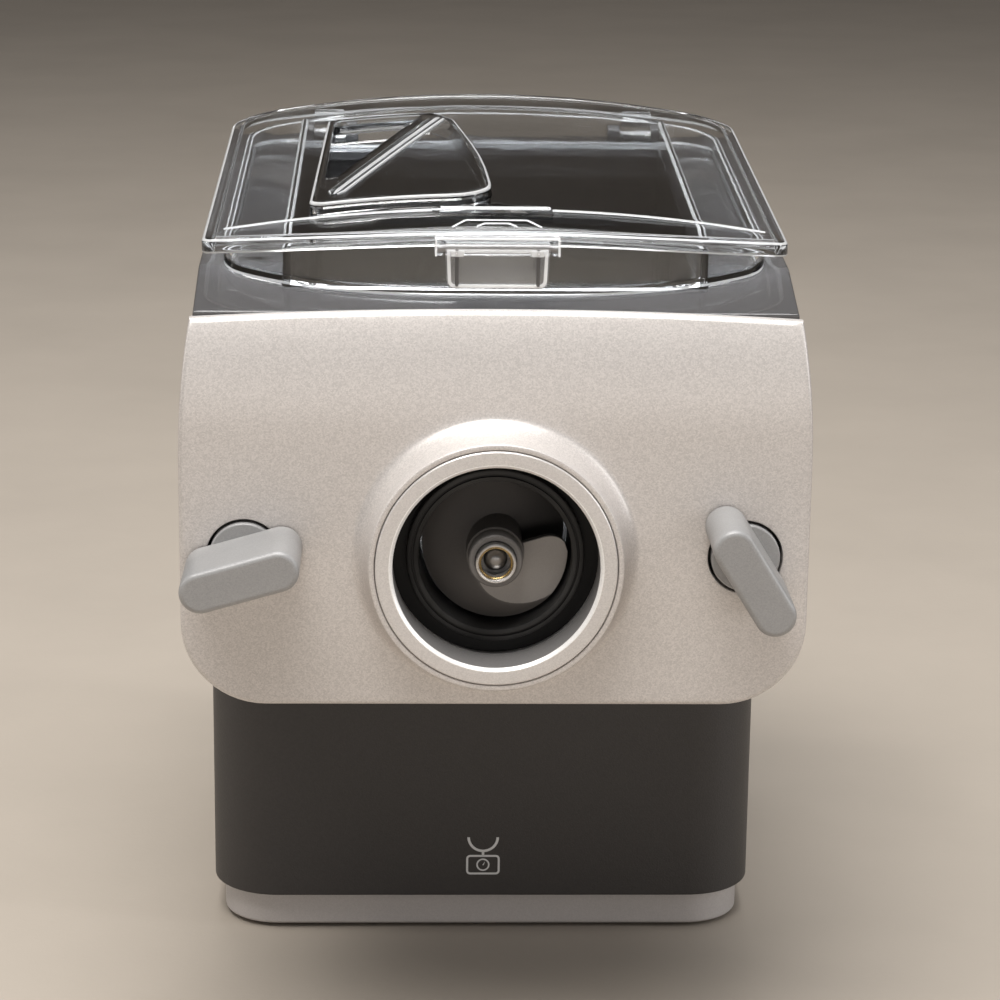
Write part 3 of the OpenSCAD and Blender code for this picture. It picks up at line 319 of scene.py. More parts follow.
@dataclass
class Form:
    """Points and faces of one piece, gathered surface by surface in millimetres."""

    points: list = field(default_factory=list)
    faces: list = field(default_factory=list)
    tones: list = field(default_factory=list)
    tone: int = 0
    size: int = 0

    def patch(self, points: Array, faces: Array) -> None:
        """Adds points and the faces between them.

        Args:
            points: The points.
            faces: Rows of point numbers.
        """
        self.points.append(np.asarray(points, float).reshape(-1, 3))
        self.faces += (np.asarray(faces) + self.size).tolist()
        self.tones += [self.tone] * len(faces)
        self.size += len(self.points[-1])

    def grid(self, points: Array, wrap_rows: bool = False, wrap_columns: bool = False,
             tones: Sequence[int] = ()) -> None:
        """Adds a surface given as rows of points.

        Args:
            points: Rows of points.
            wrap_rows: Whether the last row joins the first.
            wrap_columns: Whether each row's last point joins its first.
            tones: Material number of each band of faces between two rows, if they differ.
        """
        rows, columns = points.shape[:2]
        ids = np.arange(rows * columns).reshape(rows, columns)
        if wrap_rows:
            ids = np.vstack([ids, ids[:1]])
        if wrap_columns:
            ids = np.hstack([ids, ids[:, :1]])
        faces = np.stack([ids[:-1, :-1], ids[1:, :-1], ids[1:, 1:], ids[:-1, 1:]], -1)
        self.patch(points, faces.reshape(-1, 4))
        if len(tones):
            around = ids.shape[1] - 1
            self.tones[-len(tones) * around:] = np.repeat(tones, around).tolist()

    def rings(self, rings: Sequence[Array], tones: Sequence[int] = ()) -> None:
        """Adds the wall through closed rings that have as many points each, with a tone for each band."""
        self.grid(np.stack(rings), wrap_columns=True, tones=tones)

    def lid(self, ring: Array) -> None:
        """Closes a flat ring with one face."""
        self.patch(ring, np.arange(len(ring))[None])

    def sheet(self, plane: Plane, outer: Array, holes: Sequence[Array], height: Callable,
              pitch: float = 4.0) -> None:
        """Adds a surface over a flat region, at the height that a function gives.

        Args:
            plane: Where the region lies.
            outer: Its outline.
            holes: Outlines left open.
            height: Depth for arrays of the two flat coordinates.
            pitch: Size of the surface's cells.
        """
        flat, tris = fill(outer, holes, pitch)
        self.patch(plane.place(flat, height(flat[:, 0], flat[:, 1])), tris)

    def slab(self, plane: Plane, loop: Array, steps: Sequence[tuple], capped: bool = True) -> None:
        """Adds a solid between two flat ends, whose outline shrinks by an inset at each depth.

        Args:
            plane: Where the outline is drawn.
            loop: The outline.
            steps: Pairs of inset and depth, from one end to the other.
            capped: Whether both ends are closed.
        """
        rings = [plane.place(inset(loop, shrink), depth) for shrink, depth in steps]
        self.rings(rings)
        if capped:
            self.lid(rings[0])
            self.lid(rings[-1])

    def turned(self, plane: Plane, profile: Sequence[tuple], steps: int = 96, closed: bool = True,
               tones: Sequence[int] = ()) -> None:
        """Adds a body of revolution about the plane's out direction through its origin.

        Args:
            plane: Its origin and out direction are the axis.
            profile: Pairs of radius and depth; a radius of 0 closes the end at a pole.
            steps: Points around.
            closed: Whether the profile's last point joins its first.
            tones: Material number of each of the profile's pieces, if they differ.
        """
        shape = np.asarray(profile, float)
        angle = np.linspace(0, 2 * np.pi, steps, endpoint=False)
        flat = np.stack([shape[:, :1] * np.cos(angle), shape[:, :1] * np.sin(angle)], -1)
        self.grid(plane.place(flat, shape[:, 1:2]), wrap_rows=closed, wrap_columns=True, tones=tones)

    def piece(self, name: str, *finishes: "Surface | Finish", crease: float = 32.0) -> bpy.types.Object:
        """Makes the mesh object, with doubles merged, normals outwards and smooth shading.

        Args:
            name: The piece's name.
            finishes: One finish for each tone.
            crease: Angle in degrees from which an edge stays sharp.
        Returns:
            The object, linked to the scene.
        """
        mesh = bpy.data.meshes.new(name)
        mesh.from_pydata((np.vstack(self.points) * MM).tolist(), [], self.faces)
        for finish in finishes:
            mesh.materials.append(finish.make())
        mesh.polygons.foreach_set("material_index", np.array(self.tones, np.int32))
        work = bmesh.new()
        work.from_mesh(mesh)
        bmesh.ops.remove_doubles(work, verts=work.verts, dist=MERGE_FORM)
        bmesh.ops.recalc_face_normals(work, faces=work.faces)
        work.to_mesh(mesh)
        work.free()
        return shade_evenly(linked(name, mesh, crease))


def linked(name: str, mesh: bpy.types.Mesh, crease: float) -> bpy.types.Object:
    """Links a mesh's object to the scene and shades it smooth, with sharp edges from an angle.

    Args:
        name: The object's name.
        mesh: Its mesh.
        crease: Angle in degrees from which an edge stays sharp.
    Returns:
        The object.
    """
    mesh.polygons.foreach_set("use_smooth", np.ones(len(mesh.polygons), bool))
    mesh.set_sharp_from_angle(angle=math.radians(crease))
    piece = bpy.data.objects.new(name, mesh)
    bpy.context.scene.collection.objects.link(piece)
    return piece


def shade_evenly(piece: bpy.types.Object) -> bpy.types.Object:
    """Weights the normals by the faces' areas, so that flat faces look flat up to their edges.

    Args:
        piece: The object.
    Returns:
        The same object.
    """
    even = piece.modifiers.new("even_shading", "WEIGHTED_NORMAL")
    even.keep_sharp = True
    return piece


def skirt(plane: Plane, loop: Array, steps: Sequence[tuple], height: Callable) -> list[Array]:
    """Rings of one outline, each moved inwards and set off from a height that a function gives.

    Args:
        plane: Where the outline is drawn.
        loop: The outline.
        steps: Pairs of inset and offset, one for each ring.
        height: Depth for arrays of the two flat coordinates.
    Returns:
        The rings, in the order of the steps.
    """
    edges = [inset(loop, shrink) for shrink, _ in steps]
    return [plane.place(edge, height(*edge.T) + offset) for edge, (_, offset) in zip(edges, steps)]


def soft_edge(size: float, start: float, towards: float, steps: int = 4) -> list[tuple]:
    """Pairs of inset and depth for a quarter-round edge that ends at a flat face.

    The inset falls as one minus the sine, and the depth leaves the face as one minus the
    cosine, of an angle from 0 to 90 degrees.

    Args:
        size: The edge's radius.
        start: Depth of the flat face.
        towards: 1 if the body lies at greater depths, -1 if at smaller ones.
        steps: Pieces of the quarter.
    Returns:
        Pairs from the flat face outwards to the side wall.
    """
    angle = np.linspace(0, np.pi / 2, steps + 1)
    return [(size * (1 - math.sin(a)), start + towards * size * (1 - math.cos(a))) for a in angle]


def block_steps(low: float, high: float, edge: float, steps: int = 4) -> list[tuple]:
    """Insets and depths of a block whose two ends have round edges."""
    return soft_edge(edge, low, 1, steps) + soft_edge(edge, high, -1, steps)[::-1]


def rod_profile(radius: float, low: float, high: float, edge: float, steps: int = 4) -> list[tuple]:
    """Profile of a solid rod with round edges, as radius and depth, for an open turned form."""
    inner = [(radius - shrink, depth) for shrink, depth in block_steps(low, high, edge, steps)]
    return [(0.0, low), *inner, (0.0, high)]


# ---------------------------------------------------------------- finishes


class Graph:
    """Shader nodes of one tree, made and linked by short calls."""

    def __init__(self, tree: bpy.types.NodeTree) -> None:
        """Starts on an existing tree."""
        self.tree = tree

    def add(self, kind: str, inputs: Optional[dict] = None, **settings: object) -> bpy.types.Node:
        """Makes a node, sets its properties, and sets or links its inputs.

        Args:
            kind: Blender's name of the node type.
            inputs: Values or output sockets by input name or number.
            settings: Properties of the node.
        Returns:
            The node.
        """
        node = self.tree.nodes.new(kind)
        for key, value in settings.items():
            setattr(node, key, value)
        self.feed(node, inputs or {})
        return node

    def feed(self, node: bpy.types.Node, inputs: dict) -> None:
        """Sets or links a node's inputs.

        Args:
            node: The node.
            inputs: Values or output sockets by input name or number.
        """
        for key, value in inputs.items():
            if isinstance(value, bpy.types.NodeSocket):
                self.tree.links.new(value, node.inputs[key])
            else:
                node.inputs[key].default_value = value

    def math(self, operation: str, *values: Feed, clamp: bool = False) -> bpy.types.NodeSocket:
        """Output of a math node over numbers or sockets."""
        node = self.add("ShaderNodeMath", dict(enumerate(values)), operation=operation, use_clamp=clamp)
        return node.outputs[0]

    def blend(self, share: Feed, first: Feed, second: Feed, mode: str = "MIX") -> bpy.types.NodeSocket:
        """Colour between two colours, by a share."""
        mix = self.add("ShaderNodeMix", {0: share, 6: first, 7: second}, data_type="RGBA", blend_type=mode)
        return mix.outputs[2]

    def noise(self, place: Feed, scale: Feed, detail: float = 2.0,
              rough: float = 0.5) -> bpy.types.NodeSocket:
        """Value of a noise texture over given coordinates."""
        inputs = {"Vector": place, "Scale": scale, "Detail": detail, "Roughness": rough}
        return self.add("ShaderNodeTexNoise", inputs).outputs["Fac"]

    def ramp(self, value: Feed, low: float, high: float, to_high: float = 1.0) -> bpy.types.NodeSocket:
        """Value mapped from one range to another that starts at 0, held at its ends."""
        inputs = {0: value, 1: low, 2: high, 3: 0.0, 4: to_high}
        return self.add("ShaderNodeMapRange", inputs).outputs[0]

    def spread(self, value: Feed, middle: Feed, amount: Feed) -> bpy.types.NodeSocket:
        """A middle value shifted by a noise about its own middle, times an amount."""
        return self.math("ADD", middle, self.math("MULTIPLY", self.math("SUBTRACT", value, 0.5), amount))


def colour(red: float, green: float, blue: float) -> tuple:
    """Opaque linear colour."""
    return (red, green, blue, 1.0)


def detail_group(name: str, numbers: Sequence[str]) -> Graph:
    """Starts a shared group that takes a colour and numbers, and puts out colour, roughness and height.

    Args:
        name: The group's name.
        numbers: Names of its number inputs.
    Returns:
        A graph on the new group.
    """
    group = bpy.data.node_groups.new(name, "ShaderNodeTree")
    face = group.interface
    face.new_socket("Colour", in_out="INPUT", socket_type="NodeSocketColor")
    for label in numbers:
        face.new_socket(label, in_out="INPUT", socket_type="NodeSocketFloat")
    face.new_socket("Colour", in_out="OUTPUT", socket_type="NodeSocketColor")
    for label in ("Roughness", "Height"):
        face.new_socket(label, in_out="OUTPUT", socket_type="NodeSocketFloat")
    return Graph(group)


def moulded_detail() -> bpy.types.NodeTree:
    """Shared group of a moulded or painted surface: grain, mottling, flakes, rubbed edges and dust.

    Fine noise gives the grain's height. A broad noise shifts the colour and the roughness.
    Small random cells lighten and darken it as metal flakes do. Edges, found where the
    surface turns outwards, are rubbed lighter, and faces that look up hold a little dust.

    Returns:
        The group.
    """
    if "moulded_detail" in bpy.data.node_groups:
        return bpy.data.node_groups["moulded_detail"]
    g = detail_group("moulded_detail", ("Grain Scale", "Mottle", "Flake", "Flake Scale", "Wear", "Dust",
                                        "Rough", "Rough Spread"))
    given = g.add("NodeGroupInput").outputs
    place = g.add("ShaderNodeTexCoord").outputs["Object"]
    grain = g.noise(place, given["Grain Scale"], 3.0, 0.6)
    broad = g.noise(place, 38.0, 4.0, 0.55)
    cells = g.add("ShaderNodeTexVoronoi", {"Vector": place, "Scale": given["Flake Scale"]})
    flake = g.add("ShaderNodeSeparateColor", {0: cells.outputs["Color"]}).outputs[0]
    gain = g.spread(flake, g.spread(broad, 1.0, given["Mottle"]), given["Flake"])
    grey = g.add("ShaderNodeCombineXYZ", {0: gain, 1: gain, 2: gain}).outputs[0]
    toned = g.add("ShaderNodeVectorMath", {0: given["Colour"], 1: grey}, operation="MULTIPLY").outputs[0]
    shape = g.add("ShaderNodeNewGeometry")
    rim = g.ramp(shape.outputs["Pointiness"], 0.505, 0.56)
    rubbed = g.math("MULTIPLY", g.math("MULTIPLY", rim, g.ramp(broad, 0.35, 0.7)), given["Wear"])
    lighter = g.blend(rubbed, toned, colour(0.85, 0.84, 0.82))
    up = g.add("ShaderNodeSeparateXYZ", {0: shape.outputs["Normal"]}).outputs[2]
    settled = g.math("MULTIPLY", g.ramp(up, 0.55, 1.0), g.ramp(g.noise(place, 160.0, 5.0, 0.7), 0.42, 0.75))
    dust = g.math("MULTIPLY", settled, given["Dust"])
    dusty = g.blend(dust, lighter, colour(0.62, 0.60, 0.57))
    rough = g.spread(broad, given["Rough"], given["Rough Spread"])
    rough = g.math("ADD", rough, g.math("MULTIPLY", dust, 0.4), clamp=True)
    g.add("NodeGroupOutput", {"Colour": dusty, "Roughness": rough, "Height": grain})
    return g.tree


def brushed_detail() -> bpy.types.NodeTree:
    """Shared group of turned or brushed metal: fine lines drawn out along X, and smudges.

    The coordinates are squeezed along X before the noise, so that its cells become lines.

    Returns:
        The group.
    """
    if "brushed_detail" in bpy.data.node_groups:
        return bpy.data.node_groups["brushed_detail"]
    g = detail_group("brushed_detail", ("Line Scale", "Stretch", "Rough", "Rough Spread"))
    given = g.add("NodeGroupInput").outputs
    place = g.add("ShaderNodeTexCoord").outputs["Object"]
    squeeze = g.add("ShaderNodeCombineXYZ", {0: given["Stretch"], 1: 1.0, 2: 1.0}).outputs[0]
    drawn = g.add("ShaderNodeVectorMath", {0: place, 1: squeeze}, operation="MULTIPLY").outputs[0]
    lines = g.noise(drawn, given["Line Scale"], 3.0, 0.6)
    rough = g.spread(g.noise(place, 70.0, 3.0, 0.5), given["Rough"], given["Rough Spread"])
    tone = g.blend(g.ramp(lines, 0.3, 0.7, 0.35), given["Colour"], colour(0.30, 0.29, 0.28), "MULTIPLY")
    g.add("NodeGroupOutput", {"Colour": tone, "Roughness": rough, "Height": lines})
    return g.tree


@dataclass(frozen=True)
class Surface:
    """What every finish has: a name, a colour, and the way its material is made."""

    name: str
    tint: tuple

    def make(self) -> bpy.types.Material:
        """Builds the material, or returns it if it exists.

        Returns:
            The material.
        """
        if self.name in bpy.data.materials:
            return bpy.data.materials[self.name]
        material = bpy.data.materials.new(self.name)
        material.use_nodes = True
        material.diffuse_color = self.tint
        nodes = material.node_tree.nodes
        self.wire(Graph(material.node_tree), nodes["Principled BSDF"], nodes["Material Output"])
        return material

    def wire(self, g: Graph, skin: bpy.types.Node, end: bpy.types.Node) -> None:
        """Sets and links the shader; each kind of finish has its own way."""
        g.feed(skin, {"Base Color": self.tint})

    def lay_on(self, g: Graph, skin: bpy.types.Node, group: bpy.types.NodeTree, values: dict,
               height: float) -> None:
        """Feeds a detail group's colour, roughness and height into the shader.

        Args:
            g: The material's graph.
            skin: Its shader.
            group: The detail group.
            values: The group's inputs by name, apart from the colour.
            height: Height in metres of the group's relief.
        """
        detail = g.add("ShaderNodeGroup", {"Colour": self.tint, **values}, node_tree=group)
        bump = g.add("ShaderNodeBump", {"Height": detail.outputs["Height"], "Distance": height})
        g.feed(skin, {"Base Color": detail.outputs["Colour"], "Roughness": detail.outputs["Roughness"],
                      "Normal": bump.outputs[0]})


@dataclass(frozen=True)
class Moulded(Surface):
    """Opaque moulded, painted or cast surface with grain, flakes, wear and dust."""

    rough: float = 0.42
    rough_spread: float = 0.05
    metallic: float = 0.0
    specular: float = 0.5
    coat: float = 0.0
    grain_scale: float = 3000.0
    grain_height: float = 0.00006
    mottle: float = 0.04
    flake: float = 0.0
    flake_scale: float = 2000.0
    wear: float = 0.0
    dust: float = 0.02

    def wire(self, g: Graph, skin: bpy.types.Node, end: bpy.types.Node) -> None:
        """Lays the moulded detail on, and sets the shader's plain values.

        Args:
            g: The material's graph.
            skin: Its shader.
            end: Its output node.
        """
        self.lay_on(g, skin, moulded_detail(), {
            "Grain Scale": self.grain_scale, "Mottle": self.mottle, "Flake": self.flake,
            "Flake Scale": self.flake_scale, "Wear": self.wear, "Dust": self.dust, "Rough": self.rough,
            "Rough Spread": self.rough_spread}, self.grain_height)
        g.feed(skin, {"Metallic": self.metallic, "Specular IOR Level": self.specular,
                      "Coat Weight": self.coat, "Coat Roughness": 0.08})


@dataclass(frozen=True)
class Metal(Surface):
    """Bare metal with fine drawn lines and smudges."""

    rough: float = 0.28
    rough_spread: float = 0.2
    line_scale: float = 2600.0
    stretch: float = 0.06
    line_height: float = 0.00001

    def wire(self, g: Graph, skin: bpy.types.Node, end: bpy.types.Node) -> None:
        """Lays the drawn lines on a metal shader.

        Args:
            g: The material's graph.
            skin: Its shader.
            end: Its output node.
        """
        self.lay_on(g, skin, brushed_detail(), {
            "Line Scale": self.line_scale, "Stretch": self.stretch, "Rough": self.rough,
            "Rough Spread": self.rough_spread}, self.line_height)
        g.feed(skin, {"Metallic": 1.0})


@dataclass(frozen=True)
class Clear(Surface):
    """Transparent moulded plastic with faint flow ripples, fine scratches and a little dust."""

    tint: tuple = (0.97, 0.98, 0.99, 1.0)
    shade: tuple = (0.86, 0.88, 0.90, 1.0)
    rough: float = 0.02
    ior: float = 1.49
    ripple: float = 0.00012
    clearness: float = 1.0

    def wire(self, g: Graph, skin: bpy.types.Node, end: bpy.types.Node) -> None:
        """Adds ripples and marks, and lets shadow rays through a plain transparent shader.

        Args:
            g: The material's graph.
            skin: Its shader.
            end: Its output node.
        """
        place = g.add("ShaderNodeTexCoord").outputs["Object"]
        flow = g.noise(place, 30.0, 2.0, 0.4)
        drawn = g.add("ShaderNodeMapping", {"Vector": place, "Scale": (18.0, 1.0, 1.0),
                                            "Rotation": (0.0, 0.0, 0.5)}).outputs[0]
        scratches = g.ramp(g.noise(drawn, 90.0, 6.0, 0.75), 0.62, 0.70, 0.25)
        specks = g.ramp(g.noise(place, 900.0, 2.0, 0.5), 0.68, 0.74, 0.5)
        marks = g.math("MULTIPLY", g.math("MAXIMUM", scratches, specks), 0.22)
        bump = g.add("ShaderNodeBump", {"Height": flow, "Distance": self.ripple})
        g.feed(skin, {"Roughness": g.math("ADD", self.rough, marks, clamp=True), "Normal": bump.outputs[0],
                      "Base Color": self.tint, "Transmission Weight": self.clearness, "IOR": self.ior})
        shadow = g.add("ShaderNodeBsdfTransparent", {"Color": self.shade})
        ray = g.add("ShaderNodeLightPath")
        mixed = g.add("ShaderNodeMixShader", {0: ray.outputs["Is Shadow Ray"], 1: skin.outputs[0],
                                              2: shadow.outputs[0]})
        g.feed(end, {"Surface": mixed.outputs[0]})


@dataclass(frozen=True)
class Floor(Surface):
    """Plain matt floor with a broad, faint change of tone and fine grit."""

    def wire(self, g: Graph, skin: bpy.types.Node, end: bpy.types.Node) -> None:
        """Blends the colour with a slightly darker one, and adds the grit's height.

        Args:
            g: The material's graph.
            skin: Its shader.
            end: Its output node.
        """
        place = g.add("ShaderNodeTexCoord").outputs["Object"]
        darker = colour(*(0.92 * share for share in self.tint[:3]))
        tone = g.blend(g.ramp(g.noise(place, 6.0, 6.0, 0.6), 0.3, 0.7), self.tint, darker)
        bump = g.add("ShaderNodeBump", {"Height": g.noise(place, 260.0, 3.0, 0.6), "Distance": 0.0001})
        g.feed(skin, {"Base Color": tone, "Normal": bump.outputs[0], "Roughness": 0.6})


class Finish(Enum):
    """Every finish of the machine, by the record's material slot."""

    panel_silver = Moulded(
        "silver_paint", colour(0.600, 0.563, 0.538), rough=0.4, metallic=0.3, grain_scale=2600.0,
        grain_height=0.00005, mottle=0.03, flake=0.24, flake_scale=2300.0, wear=0.1)
    ring_silver = Moulded(
        "ring_silver_paint", colour(0.64, 0.61, 0.59), rough=0.36, rough_spread=0.04, metallic=0.35,
        grain_height=0.00004, mottle=0.02, flake=0.16, flake_scale=2600.0, wear=0.15, dust=0.0)
    # Near-white copy of the ring's silver for its inner chamfer: painted highlight.
    ring_painted_highlight = Moulded(
        "ring_painted_highlight_paint", colour(0.93, 0.91, 0.89), rough=0.3, rough_spread=0.04, metallic=0.2, specular=0.6,
        grain_height=0.00003, mottle=0.02, flake=0.1, flake_scale=2600.0, dust=0.0)
    # Darker copy of the ring's silver for its bore, which gets less light: painted shade.
    bore_painted_shade = Moulded(
        "bore_painted_shade_paint", colour(0.22, 0.21, 0.205), rough=0.45, rough_spread=0.04, metallic=0.2,
        grain_height=0.00004, mottle=0.02, flake=0.12, flake_scale=2600.0, dust=0.0)
    grip_grey = Moulded(
        "grip_grey_plastic", colour(0.30, 0.295, 0.293), rough=0.4, metallic=0.12, grain_scale=2800.0,
        grain_height=0.00005, flake=0.14, flake_scale=2600.0, wear=0.15)
    charcoal_plastic = Moulded(
        "charcoal_grained_plastic", colour(0.038, 0.034, 0.032), rough=0.5, rough_spread=0.04, specular=0.45,
        grain_scale=1500.0, grain_height=0.00012, mottle=0.02, flake=0.14, flake_scale=1500.0, dust=0.01)
    black_plastic = Moulded(
        "black_moulding", colour(0.009, 0.0085, 0.0085), rough_spread=0.06, specular=0.22, grain_scale=2200.0,
        mottle=0.08, wear=0.05)
    black_gloss = Moulded(
        "black_gloss_panel", colour(0.012, 0.012, 0.013), rough=0.12, rough_spread=0.03, coat=0.6,
        grain_height=0.00001)
    auger_grey = Moulded(
        "auger_grey_plastic", colour(0.13, 0.12, 0.113), rough=0.48, rough_spread=0.06, grain_scale=2400.0,
        mottle=0.05, flake=0.06, flake_scale=2400.0, wear=0.05, dust=0.0)
    # Lighter copy of the screw's grey for its flat front face: painted light.
    auger_painted_light_face = Moulded(
        "auger_end_painted_light", colour(0.32, 0.297, 0.278), rough_spread=0.06, grain_scale=2400.0, mottle=0.05,
        flake=0.06, flake_scale=2400.0, dust=0.0)
    pale_plastic = Moulded(
        "pale_moulding", colour(0.62, 0.62, 0.61), rough=0.45, rough_spread=0.06, grain_scale=2500.0,
        mottle=0.03, dust=0.03)
    plinth_grey = Moulded(
        "plinth_grey_plastic", colour(0.50, 0.47, 0.455), metallic=0.05, grain_scale=2600.0, mottle=0.03,
        flake=0.1, flake_scale=2400.0, wear=0.05)
    key_grey = Moulded(
        "key_grey_plastic", colour(0.36, 0.365, 0.375), rough=0.4, grain_height=0.00005, flake=0.05,
        flake_scale=2600.0, wear=0.1)
    gear_white = Moulded(
        "gear_white_plastic", colour(0.74, 0.73, 0.70), rough=0.38, rough_spread=0.06, grain_scale=1800.0,
        grain_height=0.00004, dust=0.03)
    circuit_board = Moulded(
        "dark_circuit_board", colour(0.010, 0.034, 0.020), rough=0.38, rough_spread=0.2, coat=0.3,
        grain_scale=900.0, grain_height=0.00003, mottle=0.35, flake=0.25, flake_scale=420.0, dust=0.03)
    rubber = Moulded(
        "black_rubber", colour(0.022, 0.021, 0.021), rough=0.78, rough_spread=0.06, specular=0.3,
        grain_scale=1600.0, grain_height=0.0001, mottle=0.12, wear=0.1, dust=0.05)
    mark_white = Moulded(
        "printed_white", colour(0.66, 0.66, 0.66), rough=0.55, specular=0.4, grain_scale=3500.0,
        grain_height=0.00002, mottle=0.05, dust=0.0)
    lit_digits = Moulded(
        "lit_digits", colour(0.75, 0.86, 0.92), rough=0.5, specular=0.4, grain_scale=3500.0,
        grain_height=0.00002, mottle=0.05, dust=0.0)
    steel = Metal("brushed_steel", colour(0.62, 0.61, 0.60))
    # Darker copy of the steel for the sleeve's recess and for the pin inside the latch's barrel: painted
    # shade.
    steel_painted_shade = Metal("steel_painted_shade", colour(0.30, 0.29, 0.285), rough=0.34)
    aluminium = Metal("satin_aluminium", colour(0.70, 0.70, 0.71), rough=0.36, line_scale=1800.0, stretch=0.1)
    brass = Metal("turned_brass", colour(0.72, 0.53, 0.25), rough=0.24)
    clear_plastic = Clear("clear_acrylic")
    # Half-diffuse white acrylic on rims, beads and edges, which paints them as bright lines: painted
    # highlight.
    painted_highlight_plastic = Clear(
        "edge_acrylic_painted_highlight", tint=colour(0.97, 0.97, 0.97), shade=colour(0.85, 0.85, 0.86), rough=0.2,
        ripple=0.00005, clearness=0.5)
    clip_plastic = Clear(
        "clip_acrylic", tint=colour(0.88, 0.88, 0.88), shade=colour(0.8, 0.8, 0.8), rough=0.06, ripple=0.0001,
        clearness=0.92)
    smoke_plastic = Clear(
        "smoky_acrylic", tint=colour(0.13, 0.125, 0.125), shade=colour(0.25, 0.25, 0.26), rough=0.07, ior=1.5,
        ripple=0.00006, clearness=0.45)
    display_glass = Clear(
        "tinted_window", tint=colour(0.42, 0.44, 0.47), shade=colour(0.5, 0.5, 0.5), rough=0.03, ior=1.5,
        ripple=0.0)

    def make(self) -> bpy.types.Material:
        """Builds this finish's material."""
        return self.value.make()


# ---------------------------------------------------------------- joining pieces to the frame


def attach(piece: bpy.types.Object, body: str, slot: str, *nodes: str) -> bpy.types.Object:
    """Makes a piece ride on a body and hides the nodes it stands for.

    Args:
        piece: The finished piece.
        body: The body that it moves with.
        slot: The record's material slot of its main finish; not used.
        nodes: The frame's nodes that it replaces.
    Returns:
        The piece.
    """
    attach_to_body(piece, body)
    if nodes:
        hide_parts(*nodes)
    log.info("%s rides on %s and stands for %s", piece.name, body, ", ".join(nodes) or "nothing")
    return piece


def middle_of(node: str) -> Array:
    """Middle of a node's box in millimetres."""
    low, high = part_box(node)
    return (np.array(low) + np.array(high)) / 2 / MM


def edges_of(node: str) -> tuple[Array, Array]:
    """Lowest and highest corner of a node's box in millimetres."""
    low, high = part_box(node)
    return np.array(low) / MM, np.array(high) / MM


@dataclass(frozen=True)
class Layout:
    """Main places of the machine, read from the frame, in millimetres."""

    half_w: float
    face_y: float
    panel_back: float
    head_z: float
    axis_z: float
    knob_x: float
    rear_y: float
    tube_gap: float = 0.5

    @classmethod
    def from_frame(cls) -> "Layout":
        """Reads the places off the nodes' boxes.

        Returns:
            The places.
        """
        low, high = edges_of("front_panel")
        return cls(half_w=high[0], face_y=edges_of("extrusion_tube")[0][1] - cls.tube_gap, panel_back=high[1],
                   head_z=low[2], axis_z=middle_of("collar_ring")[2], knob_x=middle_of("right_cam")[0],
                   rear_y=edges_of("rear_cover")[1][1])

    @property
    def mouth(self) -> Plane:
        """Plane of the panel's face, centred on the mouth's axis."""
        return FRONT.moved(0, self.axis_z, self.face_y)


# ---------------------------------------------------------------- front of the head


